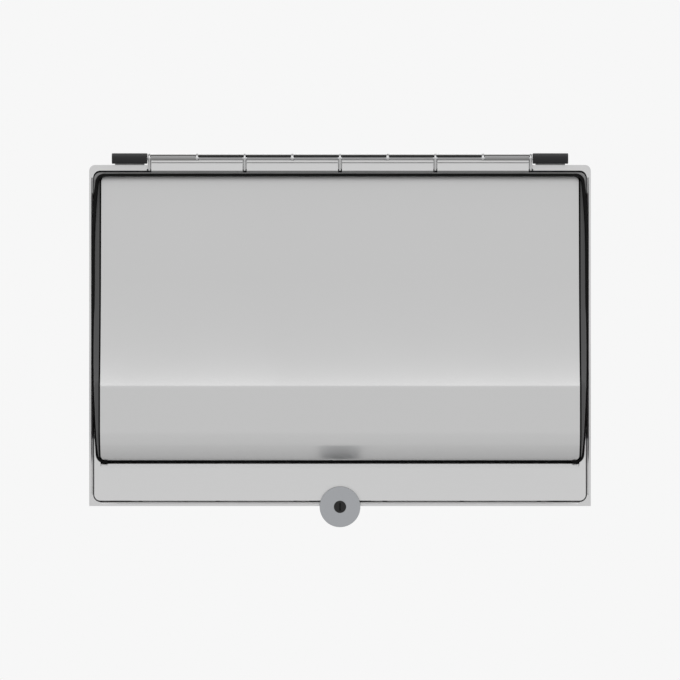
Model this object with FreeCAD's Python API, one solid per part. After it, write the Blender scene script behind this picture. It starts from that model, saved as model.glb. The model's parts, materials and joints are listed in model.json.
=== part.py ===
"""Covered wall holder for two toilet rolls, as an assembly of separate pieces.

Lengths are millimetres.  X runs to the right as seen from the front, the wall is the plane
y = 0, the front faces -Y and Z is up.  Heights below are measured from the casing's underside;
the last lines lower everything so that the origin is the middle of the wall screws.
Offsets called forward are measured from the hinge axis towards the user.
"""
import FreeCAD
import Part
import math
import os

V = FreeCAD.Vector

# Casing
WIDTH = 300.0
HEIGHT = 204.0
DEPTH = 118.0
WALL = 2.4
CASING_CORNER = 3.6
FRONT_BEVEL = 1.2
FRONT_BEVEL_DEPTH = 0.9
LIP_DROP = 1.0
LIP_DEPTH = 3.0
LIP_END_GAP = 0.5
TAB_THICK = 2.4
TAB_REACH = 9.6
TAB_FRONT = 20.0
TAB_REAR = 8.0
BACK_THICK = 2.0
BACK_FLANGE_THICK = 1.6
BACK_FLANGE_DEPTH = 12.0
BACK_FLANGE_MARGIN = 6.0

# Wall screws: four holes in a rectangle
WALL_SPACING_X = 200.0
WALL_SPACING_Z = 120.0
WALL_HOLE_R = 2.75

# Paper exits and tear bars
EXIT_INNER = 14.0
EXIT_SIDE_ROOM = 7.0
EXIT_SETBACK = 28.0
EXIT_DEPTH = 38.0
EXIT_CORNER = 6.0
TEAR_THICK = 0.8
TEAR_STRIKE_GAP = 2.0
TEAR_LAND = 5.0
TEAR_OVERHANG = 0.4
TEAR_END_ROOM = 6.3
TOOTH_PITCH = 3.0
TOOTH_DEPTH = 2.2

# Door outline
DOOR_GAP_SIDE = 0.6
DOOR_GAP_BOTTOM = 0.8
DOOR_TOP_DROP = 4.5
DOOR_CORNER_TOP = 3.6
DOOR_CORNER_BOTTOM = 3.6
DOOR_DEPTH = 13.0
RAIL_SHEET = 1.5
RAIL_TOP_SHEET = 1.0
BOTTOM_RAIL_RISE = 22.2
RAIL_BEVEL_RISE = 2.7
RAIL_BEVEL_DEPTH = 0.75
RAIL_LEG_DROP = 13.0
HORN_DROP = 17.0
HORN_RISE = 15.0

# Hood profile
HOOD_TOP_MARGIN = 2.2
HOOD_BOTTOM_MARGIN = 1.8
HOOD_TOP_RECESS = 7.0
HOOD_LEAN = 5.0
HOOD_BEND_RISE = 107.8
HOOD_CREASE_LEAN = 28.0
HOOD_CREASE_RISE = 44.3
HOOD_SHEET = 1.5
UNDER_TURN = 51.0
UNDER_NOSE_R = 11.4
UNDER_FLAT = 12.2
UNDER_BACK_R = 5.5
HOOD_RETURN = 4.0
UNDER_GAP = 0.4
HOOD_SIDE_MARGIN = 4.0
HOOD_CORNER = 3.0

# End caps and seal
CAP_PROUD = 0.1
CAP_CORNER = 4.0
CAP_EDGE_R = 0.5
TOP_BOW = 2.6
TOP_BOW_RISE = 46.0
BOTTOM_BOW = 2.9
BOTTOM_BOW_RISE = 73.0
GROOVE = 0.9
GROOVE_GAP = 0.05
SHOULDER_THICK = 2.5
SHOULDER_WIDTH = 8.0
WEB_THICK = 1.5
LUG_DEPTH = 4.8
LUG_RISE = 6.0
LUG_GAP = 0.2
SEAL_WIDTH = 1.35
SEAL_RISE = 1.5
SEAL_FOOT_SETBACK = 3.0
SEAL_PROUD = 1.3
SEAL_DEPTH = 9.3
SEAL_LIP_GAP = 0.4
RUNNING_GAP = 0.3

# Hinge
AXIS_FORWARD = 1.0
AXIS_RISE = 3.8
PIN_R = 0.8
PIN_IN_DAMPER = 9.8
KEYED_GAP = 0.02
PIVOT_GAP = 0.06
KNUCKLE_R = 1.2
KNUCKLE_NECK = 0.6
RIB_ROUND = 0.3
RIB_TOP_FORWARD = 0.2
RIB_WIDE = 1.5
POST_WIDE = 1.2
POST_GAP = 0.6
HINGE_MARGIN = 35.0
HINGE_END = 0.4
LIP_GAP = 0.5
LIP_THICK = 1.1
LIP_FORWARD = -0.2
RAIL_BACK_FORWARD = -2.2
RAIL_BACK_THICK = 1.0
RAIL_FOOT = 11.8
LEAF_FRONT = 1.3
LEAF_BACK = -0.5
LEDGE_FRONT = 1.5
LEDGE_TOP = -1.2
LEDGE_BOTTOM = -2.1
LEAF_GROOVE = 0.5
LEAF_FOOT_THICK = 1.2
LEAF_LIFT = 1.0

# Hinge dampers
DAMPER_R = 3.15
DAMPER_LONG = 21.2
DAMPER_GAP = 0.2
DAMPER_EDGE = 0.4
SADDLE_LONG = 17.5
SADDLE_INSET = 0.2
SADDLE_DEPTH = 8.0
SADDLE_RISE = 3.3

# Lock
LOCK_HEIGHT = -0.4
DISC_R = 12.17
DISC_THICK = 2.8
DISC_EDGE = 0.5
DISC_BOSS_INSET = 0.2
LOCK_TAB_R = 10.8
BARREL_R = 6.0
BARREL_REAR = 17.0
BARREL_SEAT = 1.2
PLUG_R = 3.6
PLUG_PROUD = 0.1
PLUG_GAP = 0.08
KEY_SLOT_LONG = 4.6
KEY_SLOT_WIDE = 0.9
KEY_SLOT_DEEP = 3.0
CAM_OFFSET = 1.5
CAM_THICK = 1.5
CAM_TIP_GAP = 0.7
CAM_HALF = 3.5
CAM_HUB_R = 4.5
CAM_CORNER = 1.5
CAM_SHAFT_R = 2.2
NUT_WALL = 2.5
NUT_THICK = 3.0
NOTCH_GAP = 0.7
LOCK_SIDE_ROOM = 0.5
NOTCH_REAR_GAP = 2.0
STRIKE_BAR = 5.4
STRIKE_THICK = 1.2
STRIKE_FOOT_WIDE = 6.0
STRIKE_FOOT_LONG = 9.5
STRIKE_GAP = 1.0
CAM_STRIKE_GAP = 0.8

# Roll spindles and their arms
SPINDLE_SETBACK = 54.0
SPINDLE_HEIGHT = 96.0
ARM_SIDE_ROOM = 14.6
ARM_THICK = 1.5
ARM_ROOT_HALF = 20.0
ARM_END_R = 13.0
ARM_FLANGE_GAP = 1.0
CENTRE_ARM_HALF = 4.0
CENTRE_FOOT_HALF = 14.0
CENTRE_FOOT_THICK = 2.0
CENTRE_BORE_DEEP = 3.5
ARM_SCREW_SPREAD = 12.0
SLEEVE_R = 13.0
SLEEVE_BORE_R = 10.7
SLEEVE_LONG = 84.4
SLEEVE_END_WALL = 8.4
SLEEVE_EDGE = 1.0
SPINDLE_PIN_R = 3.0
SPINDLE_PIN_GAP = 0.05
SPINDLE_PIN_OUT = 3.2
SPINDLE_END_GAP = 0.6
PLUNGER_R = 10.6
PLUNGER_BORE_R = 8.9
PLUNGER_LONG = 71.5
PLUNGER_HEAD = 7.5
PLUNGER_EDGE = 0.8
PLUNGER_SHOULDER_GAP = 0.5
PLUNGER_PIN_LONG = 3.7
SPRING_R = 7.4
SPRING_WIRE_R = 0.6
SPRING_TURNS = 14
SPRING_END_GAP = 0.05

# Bumpers
BUMPER_R = 3.5
BUMPER_THICK = 2.2
BUMPER_TAB_HALF = 7.0
BUMPER_TAB_REACH = 8.6
BUMPER_TAB_THICK = 1.5
BUMPER_LOW_RISE = 20.0
BUMPER_HIGH_DROP = 30.0

# Screws and rivets
SCREW_R = 1.5
SCREW_HEAD_R = 2.8
SCREW_HEAD = 1.5
SMALL_SCREW_R = 1.2
SMALL_HEAD_R = 2.2
SMALL_HEAD = 1.0
THREAD_GAP = 0.02
RIVET_R = 1.2
RIVET_HEAD_R = 2.0
RIVET_HEAD = 0.8
RIVET_TAIL_GAP = 0.1
STRIKE_SCREW_GAP = 0.2
LUG_SCREW_LONG = 10.0
LEG_SCREW_LONG = 5.0
HOOD_SCREW_HIGH = 18.0
HOOD_SCREW_MIDDLE = 50.0
HOLE_ROOM = 0.1
SEAT_MARGIN = 3.0
LEG_SCREW_RISE = 3.5
LUG_HOLE_DEEP = 21.5
CAM_SCREW_LONG = 2.7
BORE_OVERRUN = 1.0
THROUGH = 10.0
FAR_THROUGH = 20.0
CUT_MARGIN = 0.1

# Sizes worked out from the ones above
half = WIDTH / 2
inner_half = half - WALL
ceiling = HEIGHT - WALL
lip_bottom = ceiling - LIP_DROP
opening_corner = DOOR_CORNER_TOP + DOOR_GAP_SIDE
low_corner = DOOR_CORNER_BOTTOM + DOOR_GAP_BOTTOM
front = -DEPTH
door_half = inner_half - DOOR_GAP_SIDE
door_bottom = WALL + DOOR_GAP_BOTTOM
door_top = HEIGHT - DOOR_TOP_DROP
door_rear = front + DOOR_DEPTH
bottom_rail_top = door_bottom + BOTTOM_RAIL_RISE
hood_top = door_top - HOOD_TOP_MARGIN
hood_bottom = bottom_rail_top + HOOD_BOTTOM_MARGIN
hood_bend = hood_bottom + HOOD_BEND_RISE
hood_crease = hood_bottom + HOOD_CREASE_RISE
hood_half = door_half - HOOD_SIDE_MARGIN
cap_half = door_half + CAP_PROUD
axis_y = front - AXIS_FORWARD
axis_z = HEIGHT + AXIS_RISE
seal_front = front - SEAL_PROUD
seal_rear = seal_front + SEAL_DEPTH
lug_front = door_rear - LUG_DEPTH
groove_outer = hood_half + GROOVE_GAP + GROOVE
web_inner = groove_outer - WEB_THICK
hinge_half = half - HINGE_MARGIN
rib_pitch = (hinge_half - HINGE_END - POST_WIDE / 2) / 4
rib_r = KNUCKLE_R + RIB_ROUND
lip_under = KNUCKLE_R + LIP_GAP
pin_half = hinge_half + DAMPER_GAP + PIN_IN_DAMPER
leaf_pitch = 2 * rib_pitch
leaf_bottom = door_top + LEAF_LIFT
leaf_screw_y = seal_rear + SMALL_HEAD_R
leaf_foot_rear = leaf_screw_y + SMALL_HEAD_R + RUNNING_GAP
barrel_rear = front + BARREL_REAR
cam_front = barrel_rear + CAM_OFFSET
strike_rear = cam_front - CAM_STRIKE_GAP
strike_front = strike_rear - STRIKE_THICK
strike_bottom = LOCK_HEIGHT + BARREL_R + STRIKE_GAP
strike_top = strike_bottom + STRIKE_BAR
notch_half = LOCK_TAB_R + NOTCH_GAP
notch_rear = cam_front + CAM_THICK + SMALL_HEAD + NOTCH_REAR_GAP
strike_inner = notch_half + STRIKE_GAP
strike_outer = strike_inner + STRIKE_FOOT_WIDE
arm_inner = inner_half - ARM_SIDE_ROOM
arm_outer = inner_half - BACK_FLANGE_THICK - ARM_FLANGE_GAP
sleeve_end = arm_inner - SPINDLE_END_GAP
spindle_y = front + SPINDLE_SETBACK
exit_front = front + EXIT_SETBACK
exit_outer = arm_inner - EXIT_SIDE_ROOM
bumper_front = door_rear + RUNNING_GAP
bumper_out = door_half - BUMPER_R
bumper_heights = (hood_bottom + BUMPER_LOW_RISE, hood_top - BUMPER_HIGH_DROP)


# Building blocks

def box(x0, x1, y0, y1, z0, z1):
    return Part.makeBox(x1 - x0, y1 - y0, z1 - z0, V(x0, y0, z0))


def rod_x(x0, x1, y, z, radius):
    return Part.makeCylinder(radius, x1 - x0, V(x0, y, z), V(1, 0, 0))


def rod_y(y0, y1, x, z, radius):
    return Part.makeCylinder(radius, y1 - y0, V(x, y0, z), V(0, 1, 0))


def rod_z(z0, z1, x, y, radius):
    return Part.makeCylinder(radius, z1 - z0, V(x, y, z0), V(0, 0, 1))


def side_prism(points, x0, x1):
    """Solid with a straight-sided (y, z) section between two planes of constant x."""
    corners = [V(x0, y, z) for y, z in points]
    return Part.Face(Part.makePolygon(corners + corners[:1])).extrude(V(x1 - x0, 0, 0))


def plan_prism(points, z0, z1):
    """Solid with a straight-sided (x, y) section between two heights."""
    corners = [V(x, y, z0) for x, y in points]
    return Part.Face(Part.makePolygon(corners + corners[:1])).extrude(V(0, 0, z1 - z0))


def hinge_section(points, x0, x1):
    """side_prism with points as (forward, up) from the hinge axis."""
    return side_prism([(axis_y - f, axis_z + z) for f, z in points], x0, x1)


def hinge_box(f0, f1, z0, z1, x0, x1):
    return box(x0, x1, axis_y - f1, axis_y - f0, axis_z + z0, axis_z + z1)


def hinge_rod(x0, x1, radius):
    return rod_x(x0, x1, axis_y, axis_z, radius)


def joined(shapes):
    """One solid from several that touch or overlap."""
    return shapes[0].fuse(shapes[1:]).removeSplitter()


def mirrored(shape):
    return shape.mirror(V(0, 0, 0), V(1, 0, 0))


def edges_along(shape, direction, test):
    """Straight edges parallel to a direction whose middle passes a test."""
    found = []
    for edge in shape.Edges:
        if isinstance(edge.Curve, Part.Line) and abs(edge.Curve.Direction.dot(direction)) > 0.999:
            if test(edge.CenterOfMass):
                found.append(edge)
    return found


def aimed(shape, seat, direction):
    """Move a shape drawn along -Z so that it points along a direction from its seat."""
    moved = shape.copy()
    moved.Placement = FreeCAD.Placement(seat, FreeCAD.Rotation(V(0, 0, -1), direction))
    return moved


def pan_screw(seat, direction, length, radius, head_r, head):
    """Screw with a flat round head, seated under its head, with a hexagon socket."""
    body = joined([rod_z(-length, 0, 0, 0, radius), rod_z(0, head, 0, 0, head_r)])
    rim = body.Edges
    top = [e for e in rim if e.Length > 2 * math.pi * head_r - 0.1 and e.CenterOfMass.z > head / 2]
    body = body.makeFillet(0.3 * head, top)
    socket = hexagon(0.5 * head_r, 0.5 * head, head + 0.1)
    return aimed(body.cut(socket), seat, direction)


def flat_screw(seat, direction, length, radius, head_r, head):
    """Countersunk screw whose head is flush with its seat."""
    body = joined([rod_z(-length, 0, 0, 0, radius), Part.makeCone(radius, head_r, head, V(0, 0, -head))])
    socket = hexagon(0.45 * head_r, -0.5 * head, 0.1)
    return aimed(body.cut(socket), seat, direction)


def hexagon(apothem, z0, z1):
    corner = apothem / math.cos(math.pi / 6)
    points = [(corner * math.cos(i * math.pi / 3), corner * math.sin(i * math.pi / 3)) for i in range(6)]
    return plan_prism(points, z0, z1)


def screw_hole(seat, direction, length, radius):
    return aimed(rod_z(-length, 0.01, 0, 0, radius), seat, direction)


def flat_hole(seat, direction, length, radius, head_r, head):
    cone = Part.makeCone(radius, head_r, head, V(0, 0, -head))
    mouth = rod_z(-0.001, 0.1, 0, 0, head_r)
    return aimed(joined([rod_z(-length, 0, 0, 0, radius), cone, mouth]), seat, direction)


def rounded_door():
    """Full outline of the door plate, as a block through the whole door depth."""
    block = box(-door_half, door_half, front - 5, door_rear, door_bottom, door_top)
    tops = edges_along(block, V(0, 1, 0), lambda c: c.z > HEIGHT / 2)
    block = block.makeFillet(DOOR_CORNER_TOP, tops)
    bottoms = edges_along(block, V(0, 1, 0), lambda c: c.z < HEIGHT / 2)
    return block.makeFillet(DOOR_CORNER_BOTTOM, bottoms)


def bowed_block(half_width, z0, z1, corner, y0, y1):
    """Block whose upright sides are straight in the middle and bow inwards towards both ends."""
    sides = []
    for end, rise, bow in ((z0, BOTTOM_BOW_RISE, BOTTOM_BOW), (z1, -TOP_BOW_RISE, TOP_BOW)):
        radius = (rise ** 2 + bow ** 2) / (2 * bow)
        turn = math.asin(rise / radius) / 2
        middle = V(half_width - radius * (1 - math.cos(turn)), y0, end + rise - radius * math.sin(turn))
        sides.append((V(half_width - bow, y0, end), middle, V(half_width, y0, end + rise)))
    (low_end, low_middle, low_start), (high_end, high_middle, high_start) = sides
    right = [
        Part.Arc(low_end, low_middle, low_start).toShape(),
        Part.LineSegment(low_start, high_start).toShape(),
        Part.Arc(high_start, high_middle, high_end).toShape(),
    ]
    edges = right + [mirrored(edge) for edge in right]
    for end in (low_end, high_end):
        edges.append(Part.LineSegment(V(-end.x, y0, end.z), end).toShape())
    block = Part.Face(Part.Wire(Part.__sortEdges__(edges))).extrude(V(0, y1 - y0, 0))
    ends = edges_along(block, V(0, 1, 0), lambda c: c.z < z0 + CUT_MARGIN or c.z > z1 - CUT_MARGIN)
    return block.makeFillet(corner, ends)


# Hood profile: one front line, offset inwards by any amount

def hood_line(inset):
    """Edges and end points of the hood's front line, from top to underside."""
    lean = math.radians(HOOD_LEAN)
    crease_lean = math.radians(HOOD_CREASE_LEAN)
    top_y = front + HOOD_TOP_RECESS
    bend_y = top_y - (hood_top - hood_bend) * math.tan(lean)
    ramp_r = (hood_bend - hood_crease) / (math.sin(crease_lean) - math.sin(lean))
    ramp_y = bend_y - ramp_r * math.cos(lean)
    ramp_z = hood_bend + ramp_r * math.sin(lean)
    nose_y = ramp_y + ramp_r * math.cos(crease_lean) + inset

    radius = ramp_r + inset
    crease_turn = math.acos((nose_y - ramp_y) / radius)
    top_z = hood_top - inset
    top = V(0, top_y + inset / math.cos(lean) + (hood_top - top_z) * -math.tan(lean), top_z)
    bend = V(0, ramp_y + radius * math.cos(lean), ramp_z - radius * math.sin(lean))
    half_turn = (lean + crease_turn) / 2
    ramp = V(0, ramp_y + radius * math.cos(half_turn), ramp_z - radius * math.sin(half_turn))
    crease = V(0, nose_y, ramp_z - radius * math.sin(crease_turn))

    turn = math.radians(UNDER_TURN)
    spread = UNDER_BACK_R - UNDER_NOSE_R
    shift_y = spread * math.cos(turn) + UNDER_FLAT * math.sin(turn)
    shift_z = spread * math.sin(turn) - UNDER_FLAT * math.cos(turn)
    nose_end_z = hood_bottom + UNDER_BACK_R - shift_z
    nose_centre = V(0, nose_y - inset + UNDER_NOSE_R, nose_end_z)
    back_centre = nose_centre + V(0, shift_y, shift_z)
    nose_end = V(0, nose_y, nose_end_z)

    def on(centre, arc_radius, angle):
        return centre + V(0, -arc_radius * math.cos(angle), -arc_radius * math.sin(angle))

    nose_r = UNDER_NOSE_R - inset
    back_r = UNDER_BACK_R - inset
    knee = on(nose_centre, nose_r, turn)
    heel = on(back_centre, back_r, turn)
    under = on(back_centre, back_r, math.pi / 2)
    edges = [
        Part.LineSegment(top, bend).toShape(),
        Part.Arc(bend, ramp, crease).toShape(),
        Part.LineSegment(crease, nose_end).toShape(),
        Part.Arc(nose_end, on(nose_centre, nose_r, turn / 2), knee).toShape(),
        Part.LineSegment(knee, heel).toShape(),
        Part.Arc(heel, on(back_centre, back_r, (turn + math.pi / 2) / 2), under).toShape(),
    ]
    return edges, top, under


def closed_band(inset, thickness, top_rear, bottom_rear, x0, x1):
    """Bent sheet that follows the hood line, with a return at the top and at the underside."""
    outer, outer_top, outer_under = hood_line(inset)
    inner, inner_top, inner_under = hood_line(inset + thickness)
    edges = outer + inner
    corners = [
        outer_top,
        V(0, top_rear, outer_top.z),
        V(0, top_rear, inner_top.z),
        inner_top,
    ]
    ends = [
        outer_under,
        V(0, bottom_rear, outer_under.z),
        V(0, bottom_rear, inner_under.z),
        inner_under,
    ]
    for chain in (corners, ends):
        for a, b in zip(chain, chain[1:]):
            edges.append(Part.LineSegment(a, b).toShape())
    wire = Part.Wire(Part.__sortEdges__(edges))
    face = Part.Face(wire)
    face.translate(V(x0, 0, 0))
    return face.extrude(V(x1 - x0, 0, 0))


def filled_profile(inset, rear, x0, x1):
    """Solid between the hood line and a flat rear plane."""
    edges, top, under = hood_line(inset)
    chain = [top, V(0, rear, top.z), V(0, rear, under.z), under]
    for a, b in zip(chain, chain[1:]):
        edges.append(Part.LineSegment(a, b).toShape())
    face = Part.Face(Part.Wire(Part.__sortEdges__(edges)))
    face.translate(V(x0, 0, 0))
    return face.extrude(V(x1 - x0, 0, 0))


# Screw places shared by the pieces that they join

def back_screw_seats():
    """Seat and direction of the screws that hold the back plate's flanges to the sides."""
    flange_mid = -BACK_THICK - BACK_FLANGE_DEPTH / 2
    for side in (-1, 1):
        for z in (0.15 * HEIGHT, 0.5 * HEIGHT, 0.85 * HEIGHT):
            yield V(side * (inner_half - BACK_FLANGE_THICK), flange_mid, z), V(side, 0, 0)


def bottom_screw_seats():
    """Seat and direction of the screws that hold the bottom plate to the side tabs."""
    first = front + TAB_FRONT + SCREW_HEAD_R + SEAT_MARGIN
    last = -TAB_REAR - SCREW_HEAD_R - SEAT_MARGIN
    for side in (-1, 1):
        for y in (first, (first + last) / 2, last):
            yield V(side * (inner_half - TAB_REACH / 2), y, 0), V(0, 0, 1)


def arm_screw_seats():
    """Seat and direction of the screws in the two side arms' flanges."""
    x = (arm_inner + ARM_THICK + arm_outer) / 2
    for side in (-1, 1):
        for dz in (-ARM_SCREW_SPREAD, ARM_SCREW_SPREAD):
            yield V(side * x, -BACK_THICK - ARM_THICK, SPINDLE_HEIGHT + dz), V(0, 1, 0)


def centre_screw_seats():
    x = (CENTRE_ARM_HALF + CENTRE_FOOT_HALF) / 2
    for side in (-1, 1):
        for dz in (-ARM_SCREW_SPREAD, ARM_SCREW_SPREAD):
            yield V(side * x, -BACK_THICK - CENTRE_FOOT_THICK, SPINDLE_HEIGHT + dz), V(0, 1, 0)


def strike_screw_seats():
    x = (strike_inner + strike_outer) / 2
    y = strike_front + STRIKE_FOOT_LONG - STRIKE_FOOT_WIDE / 2
    for side in (-1, 1):
        yield V(side * x, y, WALL + STRIKE_THICK), V(0, 0, -1)


def hinge_screw_seats():
    y = axis_y - RAIL_BACK_FORWARD + RAIL_FOOT / 2 + RAIL_BACK_THICK / 2
    for place in range(-4, 4):
        yield V((place + 0.5) * rib_pitch, y, HEIGHT + RAIL_BACK_THICK), V(0, 0, -1)


def saddle_screw_seats():
    x = hinge_half + DAMPER_GAP + DAMPER_LONG / 2
    for side in (-1, 1):
        yield V(side * x, front + SADDLE_DEPTH - SMALL_HEAD_R - RUNNING_GAP, HEIGHT + SADDLE_RISE), V(0, 0, -1)


def leaf_screw_seats():
    for leaf in range(-2, 2):
        for shift in (-0.3, 0.3):
            x = (leaf + 0.5 + shift) * leaf_pitch
            yield V(x, leaf_screw_y, door_top + LEAF_FOOT_THICK), V(0, 0, -1)


def rail_screw_seats():
    """Screws from behind that fix the end caps' lugs to the two rails."""
    x = groove_outer - SHOULDER_WIDTH / 2
    low = (door_bottom + bottom_rail_top) / 2
    high = door_top - RAIL_LEG_DROP + LEG_SCREW_RISE
    for side in (-1, 1):
        yield V(side * x, door_rear, low), V(0, -1, 0)
        yield V(side * x, door_rear, high), V(0, -1, 0)


def hood_screw_seats():
    """Screws from inside that fix the hood sheet to the end caps' shoulders."""
    lean = math.radians(HOOD_LEAN)
    inset = HOOD_SHEET + SHOULDER_THICK
    _, top, _ = hood_line(inset)
    edges, _, _ = hood_line(inset)
    nose = edges[2].CenterOfMass
    forward = V(0, -math.cos(lean), math.sin(lean))
    x = groove_outer - SHOULDER_WIDTH / 2
    for side in (-1, 1):
        for drop in (HOOD_SCREW_HIGH, HOOD_SCREW_MIDDLE):
            seat = V(side * x, top.y - (drop * math.tan(lean)), top.z - drop)
            yield seat, forward
        yield V(side * x, nose.y, nose.z), V(0, -1, 0)


# Casing and what is fixed to it

def make_casing():
    outer = box(-half, half, front, 0, WALL, HEIGHT)
    outer = outer.makeFillet(CASING_CORNER, edges_along(outer, V(0, 1, 0), lambda c: c.z > HEIGHT - 1))
    hollow = box(-inner_half, inner_half, front - 1, 1, WALL - 1, ceiling)
    bend = edges_along(hollow, V(0, 1, 0), lambda c: c.z > ceiling - 1)
    hollow = hollow.makeFillet(CASING_CORNER - WALL, bend)
    shell = outer.cut(hollow)
    additions = []
    for side in (-1, 1):
        lip = box(hinge_half + LIP_END_GAP, inner_half, front, front + LIP_DEPTH, lip_bottom, ceiling)
        corner = box(inner_half - opening_corner, inner_half, front, front + LIP_DEPTH,
                     lip_bottom - opening_corner, lip_bottom)
        corner = corner.cut(rod_y(front - 1, front + 2 * LIP_DEPTH, inner_half - opening_corner,
                                  lip_bottom - opening_corner, opening_corner))
        tab = box(inner_half - TAB_REACH, inner_half, front + TAB_FRONT, -TAB_REAR, WALL, WALL + TAB_THICK)
        low = box(inner_half - low_corner, inner_half, front, front + LIP_DEPTH, WALL, WALL + low_corner)
        low = low.cut(rod_y(front - 1, front + 2 * LIP_DEPTH, inner_half - low_corner, WALL + low_corner,
                            low_corner))
        pieces = [lip, corner, low, tab]
        for z in bumper_heights:
            y = bumper_front + BUMPER_THICK
            pieces.append(box(inner_half - BUMPER_TAB_REACH, inner_half, y, y + BUMPER_TAB_THICK,
                              z - BUMPER_TAB_HALF, z + BUMPER_TAB_HALF))
        additions += [p if side > 0 else mirrored(p) for p in pieces]
    shell = joined([shell] + additions)
    bevel = plan_prism([(inner_half, front), (inner_half + FRONT_BEVEL, front),
                        (inner_half, front + FRONT_BEVEL_DEPTH)],
                       WALL + low_corner, lip_bottom - opening_corner)
    cuts = [bevel, mirrored(bevel)]
    cuts += [screw_hole(s, d, BACK_FLANGE_THICK + 0.75 * WALL + CUT_MARGIN, SCREW_R + THREAD_GAP)
             for s, d in back_screw_seats()]
    cuts += [screw_hole(s, d, WALL + TAB_THICK + CUT_MARGIN, SCREW_R + THREAD_GAP)
             for s, d in bottom_screw_seats()]
    cuts += [screw_hole(s, d, FAR_THROUGH, SCREW_R + THREAD_GAP) for s, d in hinge_screw_seats()]
    cuts += [screw_hole(s, d, FAR_THROUGH, SMALL_SCREW_R + THREAD_GAP) for s, d in saddle_screw_seats()]
    return shell.cut(cuts)


def make_bottom_plate():
    plate = box(-half, half, front, 0, 0, WALL)
    edge = [(front, WALL - FRONT_BEVEL), (front, WALL), (front + FRONT_BEVEL_DEPTH, WALL)]
    cuts = [side_prism(edge, low_corner - inner_half, inner_half - low_corner)]
    cuts.append(box(-notch_half, notch_half, front - 1, notch_rear, -1, WALL + 1))
    for side in (-1, 1):
        slot = box(EXIT_INNER, exit_outer, exit_front, exit_front + EXIT_DEPTH, -1, WALL + 1)
        slot = slot.makeFillet(EXIT_CORNER, edges_along(slot, V(0, 0, 1), lambda c: True))
        cuts.append(slot if side > 0 else mirrored(slot))
    cuts += [flat_hole(s, d, THROUGH, SCREW_R + HOLE_ROOM, SCREW_HEAD_R, SCREW_HEAD)
             for s, d in bottom_screw_seats()]
    cuts += [screw_hole(s, d, THROUGH, SMALL_SCREW_R + THREAD_GAP) for s, d in strike_screw_seats()]
    cuts += [rod_z(-1, WALL + 1, x, y, RIVET_R + THREAD_GAP) for x, y in rivet_places()]
    return plate.cut(cuts)


def make_back_plate():
    plate = box(-inner_half, inner_half, -BACK_THICK, 0, WALL, ceiling)
    plate = plate.makeFillet(CASING_CORNER - WALL, edges_along(plate, V(0, 1, 0), lambda c: c.z > ceiling - 1))
    flanges = []
    for side in (-1, 1):
        flange = box(inner_half - BACK_FLANGE_THICK, inner_half, -BACK_THICK - BACK_FLANGE_DEPTH, -BACK_THICK,
                     WALL + BACK_FLANGE_MARGIN, ceiling - BACK_FLANGE_MARGIN)
        flanges.append(flange if side > 0 else mirrored(flange))
    plate = joined([plate] + flanges)
    cuts = []
    for x in (-WALL_SPACING_X / 2, WALL_SPACING_X / 2):
        for dz in (-WALL_SPACING_Z / 2, WALL_SPACING_Z / 2):
            cuts.append(rod_y(-BACK_THICK - 1, 1, x, HEIGHT / 2 + dz, WALL_HOLE_R))
    cuts += [screw_hole(s, d, BACK_FLANGE_THICK + CUT_MARGIN, SCREW_R + HOLE_ROOM)
             for s, d in back_screw_seats()]
    cuts += [screw_hole(s, d, THROUGH, SCREW_R + THREAD_GAP) for s, d in arm_screw_seats()]
    cuts += [screw_hole(s, d, THROUGH, SCREW_R + THREAD_GAP) for s, d in centre_screw_seats()]
    return plate.cut(cuts)


def make_back_screws():
    length = BACK_FLANGE_THICK + 0.75 * WALL
    return [pan_screw(s, d, length, SCREW_R, SCREW_HEAD_R, SCREW_HEAD) for s, d in back_screw_seats()]


def make_bottom_screws():
    length = WALL + TAB_THICK
    return [flat_screw(s, d, length, SCREW_R, SCREW_HEAD_R, SCREW_HEAD) for s, d in bottom_screw_seats()]


def tear_bar_span():
    return strike_outer + TEAR_STRIKE_GAP, exit_outer


def rivet_places():
    x0, x1 = tear_bar_span()
    for side in (-1, 1):
        for x in (x0 + TEAR_END_ROOM, (x0 + x1) / 2, x1 - TEAR_END_ROOM):
            yield side * x, exit_front - TEAR_LAND / 2


def make_tear_bar():
    """Flat strip with a saw-tooth edge that reaches over the front of the paper exit."""
    x0, x1 = tear_bar_span()
    count = int((x1 - x0) // TOOTH_PITCH)
    y_edge = exit_front + TEAR_OVERHANG
    points = [(x0, exit_front - TEAR_LAND), (x1, exit_front - TEAR_LAND)]
    step = (x1 - x0) / count
    for tooth in range(count):
        points.append((x1 - tooth * step, y_edge))
        points.append((x1 - (tooth + 0.5) * step, y_edge + TOOTH_DEPTH))
    points.append((x0, y_edge))
    strip = plan_prism(points, WALL, WALL + TEAR_THICK)
    holes = [rod_z(0, 2 * WALL, x, y, RIVET_R + THREAD_GAP) for x, y in rivet_places()]
    return strip.cut(holes)


def make_tear_rivets():
    rivets = []
    for x, y in rivet_places():
        head = rod_z(WALL + TEAR_THICK, WALL + TEAR_THICK + RIVET_HEAD, x, y, RIVET_HEAD_R)
        rivets.append(joined([rod_z(RIVET_TAIL_GAP, WALL + TEAR_THICK, x, y, RIVET_R), head]))
    return rivets


def make_bumpers():
    pads = []
    for side in (-1, 1):
        for z in bumper_heights:
            pad = rod_y(bumper_front, bumper_front + BUMPER_THICK, side * bumper_out, z, BUMPER_R)
            rim = [e for e in pad.Edges
                   if not isinstance(e.Curve, Part.Line) and e.CenterOfMass.y < bumper_front + BUMPER_THICK / 2]
            pads.append(pad.makeFillet(0.3 * BUMPER_THICK, rim))
    return pads


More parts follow.
